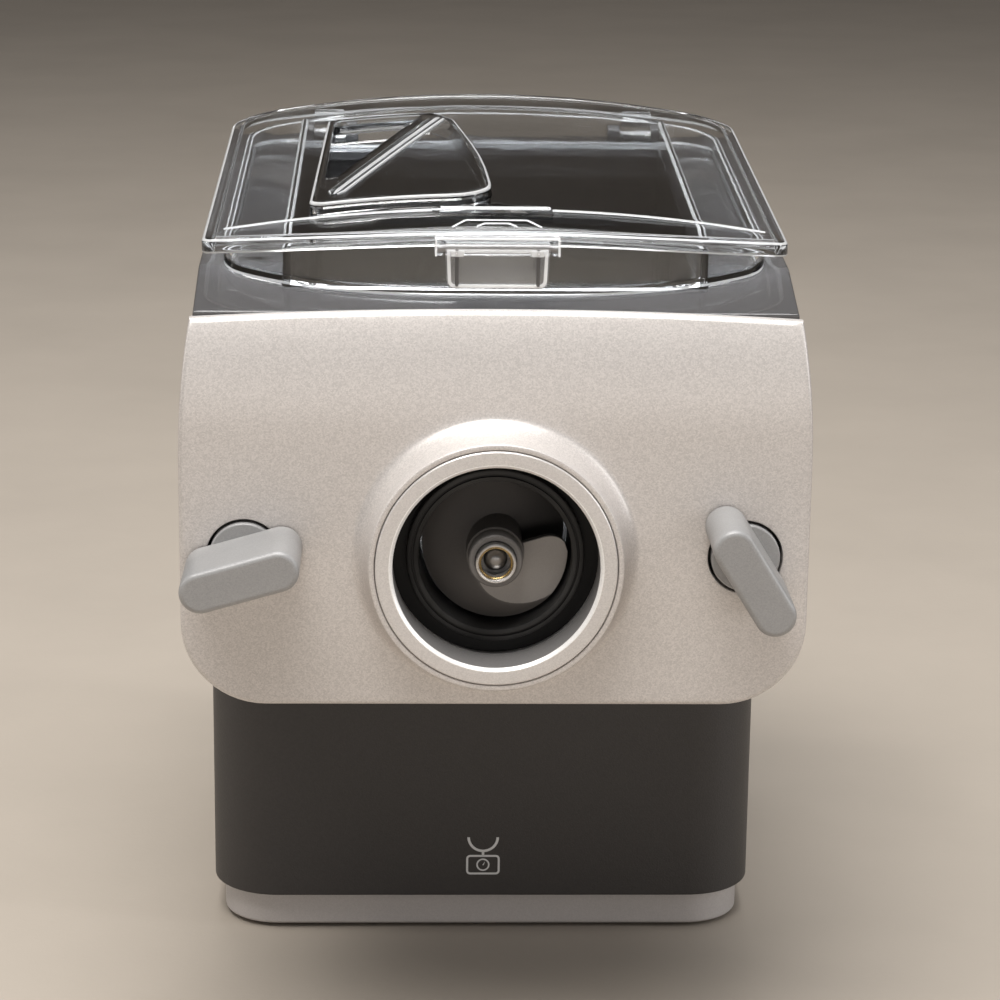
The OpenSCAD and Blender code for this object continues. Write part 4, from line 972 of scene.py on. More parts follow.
@dataclass
class FrontPanel:
    """Silver panel: upright face that leans back at its top, with a flared foot for the mouth."""

    lay: Layout
    height: float = 134.0
    arch: float = 3.0
    corner: float = 29.0
    draw_in: float = 3.9
    draw_start: float = 0.63
    lean: float = 10.0
    lean_height: float = 38.0
    wall: float = 2.8
    edge: float = 1.7
    ring_r: float = 41.0
    ring_bore: float = 35.0
    ring_out: float = 16.0
    ring_gap: float = 0.18
    collar_r: float = 43.2
    collar_share: float = 0.94
    collar_back_r: float = 45.0
    collar_depth: float = 11.0
    flare: float = 6.2
    knob_hole: float = 12.8
    knob_depth: float = 7.0
    bush_r: float = 14.12
    boss_r: float = 16.6
    boss_gap: float = 2.0
    ledge_y: float = 12.0
    ledge_drop: float = 1.8

    @property
    def top(self) -> float:
        """Height of the top edge at the sides."""
        return self.lay.head_z + self.height

    def side(self, z: Array, shrink: float = 0.0) -> Array:
        """Half width at a height: upright, then drawn in by a square law towards the top.

        Args:
            z: Heights.
            shrink: How far inside the panel's edge.
        Returns:
            The half widths.
        """
        start = self.lay.head_z + self.draw_start * self.height
        share = np.clip((z - start) / (self.top - start), 0, 1)
        return self.lay.half_w - shrink - self.draw_in * share ** 2

    def face(self, z: Array) -> Array:
        """Depth of the face at a height: upright, then leaning back by a power of 2.2.

        Args:
            z: Heights.
        Returns:
            The face's depths.
        """
        low = self.top - self.lean_height
        share = np.clip((z - low) / (self.top + self.arch + 1 - low), 0, 1)
        return self.lay.face_y + self.lean * share ** 2.2

    def outline(self, shrink: float = 0.0) -> Array:
        """Front outline with round lower corners, curved sides and an arched top.

        Args:
            shrink: How far the loop lies inside the edge.
        Returns:
            The outline's points.
        """
        half, radius = self.lay.half_w - shrink, self.corner - shrink
        low, top = self.lay.head_z + shrink, self.top - shrink
        rise = np.linspace(low + radius, top, 24, endpoint=False)
        right = np.stack([self.side(rise, shrink), rise], -1)
        corner_x = float(self.side(np.array(top), shrink))
        across = np.linspace(corner_x, -corner_x, 50)
        crown = np.stack([across, top + self.arch * (1 - (across / corner_x) ** 2)], -1)
        left = right[::-1] * (-1, 1)
        return np.vstack([between((radius - half, low), (half - radius, low), 36),
                          arc((half - radius, low + radius), radius, -90, 0, 14), right, crown,
                          left[:-1], arc((radius - half, low + radius), radius, 180, 270, 14)])

    def knob_places(self) -> list[tuple]:
        """Axes of the two locks in the panel's plane."""
        return [(-self.lay.knob_x, self.lay.axis_z), (self.lay.knob_x, self.lay.axis_z)]

    def shell(self) -> bpy.types.Object:
        """Builds the panel as one closed wall with its flare and lock bosses.

        Returns:
            The piece.
        """
        lay, form, knobs = self.lay, Form(), self.knob_places()
        centre = (0.0, lay.axis_z)
        outer_holes = [circle(centre, self.collar_r + self.flare, 128),
                       *(circle(knob, self.knob_hole + 0.5) for knob in knobs)]
        inner_holes = [circle(centre, self.collar_back_r, 128),
                       *(circle(knob, self.boss_r) for knob in knobs)]
        full, inner = self.outline(), self.outline(self.wall)
        form.sheet(FRONT, self.outline(self.edge), outer_holes, lambda x, z: self.face(z), 3.5)
        form.sheet(FRONT, inner, inner_holes, lambda x, z: self.face(z) + self.wall, 7.0)
        ledge_y, ledge_z = lay.face_y + self.ledge_y, self.top - self.ledge_drop
        low = np.minimum(full, (np.inf, ledge_z))
        low_inner = np.minimum(inner, (np.inf, ledge_z - self.wall))
        edge = soft_edge(self.edge, 0.0, 1, 5)
        form.rings([*(self.on_face(self.outline(shrink), depth) for shrink, depth in edge),
                    FRONT.place(full, ledge_y), FRONT.place(low, ledge_y), FRONT.place(low, lay.panel_back),
                    FRONT.place(low_inner, lay.panel_back), FRONT.place(low_inner, ledge_y + self.wall),
                    self.on_face(inner, self.wall)])
        self.add_flare(form, outer_holes[0], inner_holes[0])
        for hole, boss in zip(outer_holes[1:], inner_holes[1:]):
            self.add_boss(form, hole, boss)
        return form.piece("front_panel_shell", Finish.panel_silver)

    def on_face(self, flat: Array, depth: float) -> Array:
        """Points at a depth behind the leaning face."""
        return FRONT.place(flat, self.face(flat[:, 1]) + depth)

    def add_flare(self, form: Form, foot: Array, back: Array) -> None:
        """Adds the collar's foot: a hollow quarter ellipse from the face up to the ring.

        The radius falls by the sine and the height rises by one minus the cosine of an
        angle from 0 to 90 degrees, so that the foot leaves the face without a crease.

        Args:
            form: The form that takes the surfaces.
            foot: Outline of the face's hole.
            back: Outline of the rear side's hole.
        """
        lay = self.lay
        centre = np.array([0.0, lay.axis_z])
        way = spokes(foot, centre)
        tall, lip = self.collar_share * self.ring_out, self.ring_r + self.ring_gap
        profile = [(self.collar_r + self.flare * (1 - math.sin(a) ** 0.9), -tall * (1 - math.cos(a)) ** 0.85)
                   for a in np.linspace(0, np.pi / 2, 15)]
        profile += [(self.ring_r + 1.9, -tall - 0.45), (self.ring_r + 1.3, -tall - 0.6),
                    (lip + 0.3, -tall - 0.5), (lip, -tall - 0.2), (lip, self.collar_depth),
                    (self.collar_back_r, self.collar_depth)]
        rings = []
        for radius, depth in profile:
            flat = centre + way * radius
            lean = (self.face(flat[:, 1]) - lay.face_y) * np.clip(1 + depth / tall, 0, 1)
            rings.append(FRONT.place(flat, lay.face_y + depth + (lean if depth <= 0 else 0)))
        form.rings([*rings, self.on_face(back, self.wall)])

    def add_boss(self, form: Form, hole: Array, boss: Array) -> None:
        """Adds the wall of a lock's hole and the boss that carries its bush.

        Args:
            form: The form that takes the surfaces.
            hole: Outline of the face's hole.
            boss: Outline of the boss.
        """
        centre = hole.mean(0)
        way = spokes(hole, centre)
        y, end, bore = self.lay.face_y, self.lay.panel_back - self.boss_gap, self.knob_hole
        profile = [(bore + 0.5, y), (bore + 0.15, y + 0.15), (bore, y + 0.5), (bore, y + self.knob_depth),
                   (self.bush_r, y + self.knob_depth), (self.bush_r, end)]
        form.rings([*(FRONT.place(centre + way * radius, depth) for radius, depth in profile),
                    FRONT.place(boss, end), self.on_face(boss, self.wall)])

    def ring(self) -> bpy.types.Object:
        """Builds the collar ring: flat face, rounded outer rim and a fine inner chamfer, with a painted
        highlight on the chamfer and painted shade in the bore.

        Returns:
            The piece.
        """
        front = -self.ring_out
        outer, bore = self.ring_r - 0.05, self.ring_bore
        profile = [(outer, front + 0.8), (outer - 0.12, front + 0.35), (outer - 0.45, front + 0.05),
                   (outer - 0.9, front), (bore + 1.3, front), (bore + 1.0, front + 0.05),
                   (bore + 0.15, front + 0.85), (bore, front + 1.2), (bore, -2.0), (bore + 0.2, 0.5),
                   (bore + 1.0, 0.5), (bore + 1.0, 6.0), (outer, 6.0)]
        form = Form()
        # Tone 1 on the bore wall paints its shade.
        form.turned(self.lay.mouth, profile, 160, tones=[0] * 4 + [2] * 3 + [1] * 3 + [0] * 3)
        return form.piece("collar_ring_trim", Finish.ring_silver, Finish.bore_painted_shade, Finish.ring_painted_highlight,
                          crease=25.0)

    def build(self) -> None:
        """Builds the panel and its ring."""
        attach(self.shell(), "front_panel", "panel_silver", "front_panel")
        attach(self.ring(), "front_panel", "panel_silver", "collar_ring")


@dataclass
class LockGrip:
    """Turning grip of a lock: a bar with round ends on a disc, with its stem."""

    lay: Layout
    name: str
    side: int
    angle: float
    length: float = 41.0
    width: float = 14.2
    reach: float = 33.0
    disc_r: float = 11.8
    stem_r: float = 4.9
    edge: float = 1.9
    stem_back: float = 21.9

    def build(self) -> None:
        """Builds the grip, whose front face has a round edge."""
        y = self.lay.face_y
        form = Form()
        plane = FRONT.moved(self.side * self.lay.knob_x, self.lay.axis_z)
        loop = stadium(self.length, self.width, self.angle)
        steps = soft_edge(self.edge, y - self.reach, 1, 6) + [(0.0, y - 12.0), (0.0, y - 1.2)]
        form.slab(plane, loop, [(shrink + 0.02, depth) for shrink, depth in steps])
        form.turned(plane, rod_profile(self.disc_r, y - 1.5, y + 6.5, 0.7), 96, closed=False)
        form.turned(plane, rod_profile(self.stem_r, y + 6.0, y + self.stem_back, 0.3), 48, closed=False)
        piece = form.piece(f"{self.name}_lock_grip", Finish.grip_grey)
        attach(piece, f"{self.name}_lock", "grip_grey", f"{self.name}_grip")


@dataclass
class Mouth:
    """Extrusion tube with the kneading screw and the steel sleeve in its nose."""

    lay: Layout
    tube_r: float = 30.5
    tube_wall: float = 4.3
    flange_r: float = 40.8
    screw_r: float = 25.0
    hub_r: float = 9.8
    nose_step: float = 0.6
    hub_back: float = 70.0
    pitch: float = 32.0
    flight_front: float = 7.0
    flight_lip: float = 3.0
    fine_turn: float = 160.0
    length: float = 63.0
    lobe_start: float = 17.0
    hub_span: float = 147.0
    rim_span: float = 55.0
    corner_r: float = 8.0
    corner_turn: float = 17.0

    def tube(self) -> bpy.types.Object:
        """Builds the tube with its flange and a fine groove in its rim.

        Returns:
            The piece.
        """
        outer, inner = self.tube_r, self.tube_r - self.tube_wall
        mid = (outer + inner) / 2
        profile = [(outer, 1.3), (outer - 0.3, 0.7), (outer - 0.8, 0.5), (mid + 0.45, 0.5), (mid + 0.3, 1.3),
                   (mid - 0.3, 1.3), (mid - 0.45, 0.5), (inner + 0.7, 0.5), (inner + 0.2, 0.7), (inner, 1.2),
                   (inner, 36.0), (outer, 36.0), (outer, 9.8), (self.flange_r, 9.8), (self.flange_r, 6.3),
                   (outer, 6.3)]
        form = Form()
        form.turned(self.lay.mouth, profile, 144)
        return form.piece("extrusion_tube_lining", Finish.black_plastic, crease=25.0)

    def screw(self) -> bpy.types.Object:
        """Builds the screw: a turned hub with one helical flight that ends in a flat bean-shaped face.

        Going round clockwise by an angle s, the flight's rear lies at the front plane plus
        s turns of pitch plus a lip. Its front lies one lobe's width behind that, where the
        lobe spans a wide angle at the hub and a narrow one at the rim, and both are held
        between the front plane and the screw's end. So the lobe's face is flat and the
        flight's front falls away from its edge as a helix.

        Returns:
            The piece.
        """
        form, plane = Form(), self.lay.mouth
        end = self.flight_front + self.length - 7
        last = 360 * self.length / self.pitch
        turned = np.concatenate([np.linspace(0, self.fine_turn, 81)[:-1],
                                 np.linspace(self.fine_turn, last, 190)])
        share = np.linspace(0, 1, 18)
        nose, hub = self.hub_r - self.nose_step, self.hub_r
        radius = nose + (self.screw_r - nose) * share
        span = self.hub_span + (self.rim_span - self.hub_span) * share ** 1.15
        corner = np.clip(1 - (radius - self.screw_r + self.corner_r) / self.corner_r, 0, 1)
        late = self.corner_turn * (1 - np.sqrt(np.clip(1 - (1 - corner) ** 2, 0, 1)))
        sweep = turned[:, None]
        climb = self.pitch / 360.0
        low = self.flight_front + np.maximum(0.0, climb * (sweep - span))
        high = self.flight_front + self.flight_lip + climb * np.maximum(sweep - late, 0.0)
        angle = np.radians(self.lobe_start - np.maximum(sweep, late))
        flat = np.stack([radius * np.cos(angle), radius * np.sin(angle)], -1)
        low, high = np.minimum(low, end - 0.5), np.minimum(high, end)
        front = plane.place(flat, low)
        back = plane.place(flat, high)
        form.grid(np.concatenate([front, back[:, ::-1]], 1), wrap_columns=True)
        self.add_lobe(form, plane, radius, span, late)
        form.grid(np.stack([back[0], front[0]]))
        form.grid(np.stack([front[-1], back[-1]]))
        form.turned(plane, [(7.0, -1.0), (7.0, -5.2), (7.25, -5.8), (7.8, -6.0), (nose - 0.5, -6.0),
                            (nose, -5.5), (nose, 2.0), (hub, 2.5), (hub, self.hub_back),
                            (6.1, self.hub_back), (6.1, -1.0)], 96)
        return form.piece("auger_screw", Finish.auger_grey, Finish.auger_painted_light_face, crease=28.0)

    def add_lobe(self, form: Form, plane: Plane, radius: Array, span: Array, late: Array) -> None:
        """Adds the lobe's face: a thin plate over all of its flat front, in a lighter grey that paints the
        light falling on it.

        Args:
            form: The form that takes the surfaces.
            plane: The screw's plane.
            radius: Distances from the axis.
            span: Angle in degrees where the lobe ends at each radius.
            late: Angle in degrees where it starts at each radius.
        """
        inner = radius > self.hub_r - 0.4
        radius, span, late = radius[inner].copy(), span[inner], late[inner]
        radius[-1] -= 0.1
        share = np.linspace(0.01, 0.99, 60)[:, None]
        angle = np.radians(self.lobe_start - (late + (span - late) * share))
        flat = np.stack([radius * np.cos(angle), radius * np.sin(angle)], -1)
        # The face plate takes the lighter grey: painted light.
        form.tone = 1
        sides = [plane.place(flat, self.flight_front - lift) for lift in (0.05, -0.1)]
        for rows in sides:
            form.grid(rows)
        edge = [np.vstack([rows[0], rows[1:, -1], rows[-1, -2::-1], rows[-2:0:-1, 0]]) for rows in sides]
        form.rings(edge)
        form.tone = 0

    def sleeve(self) -> bpy.types.Object:
        """Builds the steel sleeve: bright rim, brass seat and a cupped recess in darker steel, which paints
        the shade in it.

        Returns:
            The piece.
        """
        form, plane = Form(), self.lay.mouth
        form.turned(plane, [(6.95, -1.2), (6.95, -8.3), (6.8, -8.8), (6.4, -9.0), (6.0, -8.9), (5.7, -8.5),
                            (5.6, -7.8), (5.6, -1.2)], 96)
        form.tone = 1
        form.turned(plane, [(5.6, -8.3), (5.35, -8.5), (5.1, -8.2), (5.0, -7.6), (5.6, -7.4)], 96)
        # The recess takes the darker steel: painted shade.
        form.tone = 2
        angle = np.linspace(0, np.pi / 2, 12)
        dome = [(4.1 * math.sin(a), -2.2 - 3.4 * math.cos(a)) for a in angle]
        form.turned(plane, [*dome, (5.5, -2.0), (5.5, -1.6), (0.0, -1.6)], 64, closed=False)
        return form.piece("auger_sleeve", Finish.steel, Finish.brass, Finish.steel_painted_shade, crease=25.0)

    def build(self) -> None:
        """Builds the tube, the screw and the sleeve."""
        attach(self.tube(), "casing", "black_plastic", "extrusion_tube")
        attach(self.screw(), "drive", "auger_grey", "auger")
        attach(self.sleeve(), "drive", "steel", "auger_tip")


# ---------------------------------------------------------------- lid, chamber and frame


@dataclass
class Lid:
    """Clear lid with its rim, the inlet's raised hood and the hanging latch."""

    front_y: float = -125.5
    front_z: float = 297.0
    tilt: float = 3.95
    half_w: float = 101.0
    length: float = 222.5
    bow: float = 18.0
    corner: float = 18.0
    rim_arch: float = 8.0
    crown_arch: float = 10.5
    crown: float = 3.0
    apron: float = 21.5
    fold_bend: float = 7.0
    fold_step: float = 0.6
    bead_in: float = 4.0
    groove_in: float = 4.9
    rim_t: float = 4.5
    rim_w: float = 5.0
    wall: float = 2.5
    slot_depth: float = 0.7
    tab_half: float = 19.5
    tab_front: float = 17.5
    inlet_front: float = 26.0325
    inlet_back: float = 170.88
    inlet_left: float = -67.8
    hood_lift: float = 3.9
    hood_wall: float = 2.0
    band: tuple = ((-56.0, 40.0), (-18.5, 157.0))
    hinge_x: float = 62.0
    hinge_w: float = 12.0
    hinge_y: float = 99.5
    hinge_z: float = 296.49
    latch_y: float = -128.4
    latch_z: float = 292.5
    latch_w: float = 35.4
    latch_drop: float = 14.0

    @property
    def plane(self) -> Plane:
        """The lid's own plane: up runs along its slope and out stands on it.

        Returns:
            The plane.
        """
        turn = math.radians(self.tilt)
        return Plane((0.0, self.front_y, self.front_z), (1.0, 0.0, 0.0),
                     (0.0, math.cos(turn), math.sin(turn)), (0.0, -math.sin(turn), math.cos(turn)))

    def outline(self, shrink: float = 0.0, nose: float = 6.0) -> Array:
        """Plan of the lid, or of a loop inside it: its front bows by a cubic, its corners are round.

        Args:
            shrink: How far the loop lies inside the lid's edge.
            nose: Radius of its two front corners.
        Returns:
            The outline's points in the lid's plane.
        """
        t = np.linspace(-1, 1, 61)[1:-1]
        half, back, side = self.half_w - shrink, self.length - shrink, self.bow + shrink
        front = np.stack([half * t, shrink + self.bow * np.abs(t) ** 3], -1)
        joint = float(self.fold(np.array(self.half_w))) + shrink
        corners = [(-half, side), *front, (half, side), (half, joint), (half, back), (-half, back),
                   (-half, joint)]
        radii = [nose] + [0] * len(front) + [nose, 0, self.corner, self.corner, 0]
        front_start = half * 0.93
        keep = [i for i, c in enumerate(corners) if c[1] > 0.999 * side or abs(c[0]) < front_start]
        loop = rounded([corners[i] for i in keep], [radii[i] for i in keep], 9)
        return denser(loop, 6.0)

    def fold(self, x: Array) -> Array:
        """Place of the fold behind the apron: it bends back by a power of 1.6 of the distance."""
        return self.apron + self.fold_bend * np.abs(x / self.half_w) ** 1.6

    def crown_top(self, x: Array, *_: Array) -> Array:
        """Height of the crown: an arch that falls by the square of the distance from the middle."""
        return self.crown - self.crown_arch * (x / self.half_w) ** 2

    def apron_top(self, x: Array, v: Array) -> Array:
        """Height of the apron: a straight rise from the rim's arch to a small step below the crown.

        Args:
            x: Places across.
            v: Places along the lid, from its front.
        Returns:
            The heights.
        """
        edge = -self.rim_arch * (x / self.half_w) ** 2
        step = self.fold_step * np.clip(1 - (x / (self.half_w - self.groove_in)) ** 4, 0, 1)
        return edge + (self.crown_top(x) - step - edge) * np.clip(v / self.fold(x), 0, 1)

    def top(self, x: Array, v: Array) -> Array:
        """Height of the lid's upper face: the apron as far as the fold, then the crown."""
        return np.where(v > self.fold(x) - 1e-6, self.crown_top(x), self.apron_top(x, v))

    def bottom(self, x: Array, *_: Array) -> Array:
        """Height of the rim's underside."""
        return -self.rim_arch * (x / self.half_w) ** 2 - self.rim_t

    def inlet_loop(self, shrink: float) -> Array:
        """Outline of the inlet: three round corners and a long curve on its right side.

        Args:
            shrink: How far the loop lies inside the edge.
        Returns:
            The outline's points.
        """
        front, back, left, s = self.inlet_front, self.inlet_back, self.inlet_left, shrink
        corners = [(left + s, front + s), (2.0 - s, front - 0.5 + s), (2.2 - s, front + 22),
                   (1.0 - s, front + 46), (-0.7 - s, front + 66), (-3.4 - s, front + 88),
                   (-9.3 - s, back - 17), (-17 - s, back - s), (left + 3 + s, back - s)]
        return denser(rounded(corners, [6, 15, 60, 90, 90, 90, 12, 7, 4], 8), 4.0)

    def mouth_loop(self) -> Array:
        """Outline of the inlet's open half: the triangle between its left side, its back and the slope.

        Returns:
            The outline's points.
        """
        left, back = self.inlet_left, self.inlet_back - 6.5
        corners = [(left + 7.2, self.inlet_front + 22), (-24.5, back), (left + 9, back)]
        return denser(rounded(corners, [3, 2, 3], 5), 4.0)

    def fold_line(self, reach: float) -> Array:
        """Line of the fold from left to right, with the crown's tab standing forward in its middle.

        Args:
            reach: Distance of the line's ends from the middle.
        Returns:
            The line's points.
        """
        side = np.linspace(-reach, -self.tab_half, 34)
        left = np.stack([side, self.fold(side)], -1)
        tab = between((-self.tab_half, self.tab_front), (self.tab_half, self.tab_front), 14)[1:]
        middle = np.vstack([[(-self.tab_half, self.tab_front)], tab, [(self.tab_half, self.tab_front)]])
        return np.vstack([left, middle, left[::-1] * (-1, 1)])

    def cover(self) -> bpy.types.Object:
        """Builds the lid as one closed clear shell.

        A thick rim and a fine groove run round it. Inside the groove the upper face is an
        apron and a crown, parted by a small step along the fold.

        Returns:
            The piece.
        """
        form, plane, loop = Form(), self.plane, self.outline()
        hole = self.inlet_loop(3.0)
        slot = box_loop(1.2 - self.tab_half, self.tab_half - 1.2, self.apron + 2.6, self.apron + 4.6, 0.8, 3)
        inner = inset(loop, self.groove_in)
        line = self.fold_line(float(inner[:, 0].max()))
        right, left = (int(np.argmin(np.hypot(*(inner - end).T))) for end in (line[-1], line[0]))
        line[0], line[-1] = inner[left], inner[right]
        around = np.roll(inner, -left, axis=0)
        cut = (right - left) % len(inner)
        form.sheet(plane, np.vstack([around[:cut], line[::-1][:-1]]), [], self.apron_top, 3.0)
        form.sheet(plane, np.vstack([around[cut:], line[:-1]]), [hole, slot], self.crown_top, 3.5)
        form.grid(np.stack([plane.place(line, level(*line.T)) for level in (self.apron_top, self.crown_top)]))
        form.sheet(plane, inset(slot, 0.25), [], lambda x, v: self.crown_top(x) - self.slot_depth, 4.0)
        form.rings(skirt(plane, slot, [(0.0, 0.0), (0.25, -self.slot_depth)], self.crown_top))
        form.sheet(plane, inset(loop, self.rim_w + 0.6), [hole], lambda x, v: self.top(x, v) - self.wall, 5.0)
        form.rings(skirt(plane, hole, [(0.0, 0.0), (0.0, -self.wall)], self.top))
        self.add_rim(form, loop)
        self.add_arms(form)
        # The beads, the slot's edge and the latch frame's bars take the half-diffuse edge acrylic: painted
        # highlight lines.
        form.tone = 1
        half = len(line) // 2
        arches = [np.array([(10.2, 13.2), (11.0, 12.6), (14.6, 7.4), (15.2, 6.6)]),
                  np.array([(3.8, 9.9), (4.4, 9.6), (6.4, 7.2), (6.8, 6.4)])]
        for path, width in ((line[1:half - 8] + (0.0, 0.7), 0.35), (line[half + 8:-1] + (0.0, 0.7), 0.35),
                            (inset(slot, -0.5), 0.3),
                            *((np.vstack([arch[::-1] * (-1, 1), arch]), 0.3) for arch in arches)):
            self.add_bead(form, path, width)
        self.add_latch_frame(form)
        return form.piece("lid_cover", Finish.clear_plastic, Finish.painted_highlight_plastic, crease=38.0)

    def add_rim(self, form: Form, loop: Array) -> None:
        """Adds the rim: a groove and a round top edge, a round foot, and the way back up inside.

        Args:
            form: The form that takes the surfaces.
            loop: The lid's outline.
        """
        groove, bead, rim, wall = self.groove_in, self.bead_in, self.rim_w, self.wall
        upper = [(groove, 0.0), (groove - 0.15, -0.5), (bead + 0.15, -0.5), (bead, 0.0), (bead / 2, 0.05),
                 (1.2, 0.0), (0.5, -0.15), (0.12, -0.5), (0.0, -1.1)]
        foot = [(0.0, 0.9), (0.25, 0.25), (0.9, 0.0), (rim - 0.9, 0.0), (rim - 0.25, 0.25), (rim, 0.9)]
        inside = [(rim + 0.1, -wall - 0.6), (rim + 0.6, -wall)]
        runs = ((upper, self.top), (foot, self.bottom), (inside, self.top))
        # Tone 1 on the rim's groove and top edges paints highlight lines.
        form.rings([ring for steps, level in runs for ring in skirt(self.plane, loop, steps, level)],
                   [1, 0, 0, 0, 0, 1, 1, 0, 0, 1, 0, 0, 0, 0, 0, 0])

    def add_bead(self, form: Form, path: Array, half: float, rise: float = 0.3) -> None:
        """Adds a thin raised line on the lid's upper face.

        Args:
            form: The form that takes the surfaces.
            path: The line's points in the lid's plane.
            half: Half of its width.
            rise: Its height.
        """
        ahead = np.gradient(path, axis=0)
        ahead /= np.linalg.norm(ahead, axis=1, keepdims=True)
        aside = np.stack([ahead[:, 1], -ahead[:, 0]], -1)
        section = np.array([(-1.0, -0.3), (-0.6, rise), (0.6, rise), (1.0, -0.3)])
        flat = path[:, None] + aside[:, None] * section[:, :1] * half
        rows = self.plane.place(flat, self.top(path[:, 0], path[:, 1])[:, None] + section[:, 1])
        form.grid(rows.swapaxes(0, 1), wrap_rows=True)
        form.lid(rows[0])
        form.lid(rows[-1])

    def add_latch_frame(self, form: Form) -> None:
        """Adds the bars of the frame around the latch's barrel, made bright by the edge acrylic's painted
        highlight.

        Args:
            form: The form that takes the surfaces.
        """
        front, side, top = self.latch_y - 2.7, self.latch_w / 2 + 3.0, self.front_z - 0.5
        bars = [(-side - 0.4, side + 0.4, top - 0.8, top), (-side - 0.4, -side + 0.4, top - 6.4, top - 0.6),
                (side - 0.4, side + 0.4, top - 6.4, top - 0.6)]
        for low, high, foot, head in bars:
            loop = box_loop(low, high, foot, head, 0.3, 3)
            form.slab(FRONT, loop, block_steps(front, front + 0.9, 0.25, 2))
        bridge = box_loop(self.latch_y - 1.8, self.front_y + 0.6, top - 0.9, top - 0.1, 0.3, 3)
        form.tone = 0
        form.slab(SIDE, bridge, block_steps(-side, side, 0.2, 2))

    def add_arms(self, form: Form) -> None:
        """Adds the two hinge arms behind the rim and the two ears that carry the latch.

        Args:
            form: The form that takes the surfaces.
        """
        y, z = self.hinge_y, self.hinge_z
        arm = rounded([(y - 7.0, z - 3.0), (y - 2.0, z - 3.9), (y + 4.1, z - 3.9), (y + 4.1, z + 4.1),
                       (y - 2.0, z + 10.5), (y - 7.0, z + 10.5)], [0.5, 0.5, 3.9, 3.9, 1.5, 0.5], 8)
        ear_y, ear_z = self.latch_y, self.latch_z
        ear = rounded([(ear_y - 2.5, ear_z - 2.5), (ear_y + 5.0, ear_z - 2.5), (ear_y + 5.0, ear_z + 3.4),
                       (ear_y - 2.5, ear_z + 2.4)], [2.2, 0.5, 0.5, 2.0], 6)
        for side in (-1, 1):
            middle = side * self.hinge_x
            half = self.hinge_w / 2
            form.slab(SIDE, arm, block_steps(middle - half, middle + half, 0.5, 2))
            middle = side * (self.latch_w / 2 + 2)
            form.slab(SIDE, ear, block_steps(middle - 1.45, middle + 1.45, 0.3, 2))

    def hood(self) -> bpy.types.Object:
        """Builds the inlet's hood: a wall, a roof over its right part and a sill by the open mouth.

        The roof stands above the lid and bends down along the mouth's slanting edge.

        Returns:
            The piece.
        """
        form, plane, wall = Form(), self.plane, self.hood_wall
        outer, mouth = self.inlet_loop(3.3), self.mouth_loop()
        drop = self.hood_lift + self.wall + 3.5

        def height(x: Array, v: Array) -> Array:
            """Height of the roof above the lid's crown."""
            return self.crown_top(x) + self.hood_lift

        form.sheet(plane, inset(outer, 1.0), [mouth], height, 3.0)
        form.sheet(plane, inset(inset(outer, wall), 0.6), [mouth], lambda x, v: height(x, v) - wall, 4.0)
        roof = height(*mouth.T)
        form.rings([plane.place(inset(mouth, shrink), roof + lift) for shrink, lift in (
            (0.0, 0.0), (0.35, 0.05), (0.5, -wall - 3.2), (-0.9, -wall - 3.2), (0.0, -wall))])
        steps = [(1.0, 0.0), (0.4, -0.15), (0.1, -0.5), (0.0, -1.0), (0.0, 0.4 - drop), (0.4, -drop),
                 (wall - 0.4, -drop), (wall, 0.4 - drop), (wall, -wall - 0.6), (wall + 0.6, -wall)]
        # Tone 1 on the roof's round edge paints a highlight line.
        form.rings(skirt(plane, outer, steps, height), [1, 1, 1, 0, 0, 0, 0, 0, 0])
        self.add_band(form, height)
        return form.piece("inlet_hood", Finish.clear_plastic, Finish.painted_highlight_plastic, crease=38.0)

    def add_band(self, form: Form, height: Callable) -> None:
        """Adds the raised band with two grooves that runs slantwise across the hood.

        Args:
            form: The form that takes the surfaces.
            height: Height of the hood's roof.
        """
        start, end = np.array(self.band[0]), np.array(self.band[1])
        along = (end - start) / np.linalg.norm(end - start)
        aside = np.array([along[1], -along[0]])
        half = np.array([(-3.2, 0.0), (-3.1, 0.5), (-2.6, 0.75), (-1.3, 0.75), (-0.9, 0.2), (-0.5, 0.75)])
        across = np.vstack([half, half[::-1] * (-1, 1), [(3.2, -0.6), (-3.2, -0.6)]])
        share = np.linspace(0, 1, 40)
        narrow = np.sqrt(np.clip(np.minimum(share, 1 - share) / 0.02, 0.15, 1))
        flat = start + (end - start) * share[:, None, None] + aside * (across[:, :1] * narrow[:, None, None])
        rows = self.plane.place(flat, height(flat[..., 0], flat[..., 1]) + across[:, 1] * narrow[:, None])
        # Tone 1 on the band's ridges paints highlight lines.
        form.grid(rows.swapaxes(0, 1), wrap_rows=True, tones=[1, 1, 0, 0, 1, 1, 1, 0, 0, 1, 1, 0, 0, 0])
        form.lid(rows[0])
        form.lid(rows[-1])

    def latch(self) -> bpy.types.Object:
        """Builds the latch: barrel, hanging tab with two ribs, a thumb bar and a hook at its foot.

        Returns:
            The piece.
        """
        form = Form()
        half, drop, thick = self.latch_w / 2, self.latch_drop, 1.2
        y, z = self.latch_y, self.latch_z
        plane = FRONT.moved(0, z, y)
        form.turned(SIDE.moved(y, z), rod_profile(2.5, -half, half, 0.5), 40, closed=False)
        tab = rounded([(-half + 0.6, -drop + 0.2), (half - 0.6, -drop + 0.2), (half, 0.4), (-half, 0.4)],
                      [3.0, 3.0, 0.6, 0.6], 8)
        form.slab(plane, tab, block_steps(-thick, thick, 0.5, 3))
        border = [(0.5, -thick + 0.1), (0.55, -thick - 0.25), (0.8, -thick - 0.4), (1.4, -thick - 0.4),
                  (1.65, -thick - 0.25), (1.7, -thick + 0.1)]
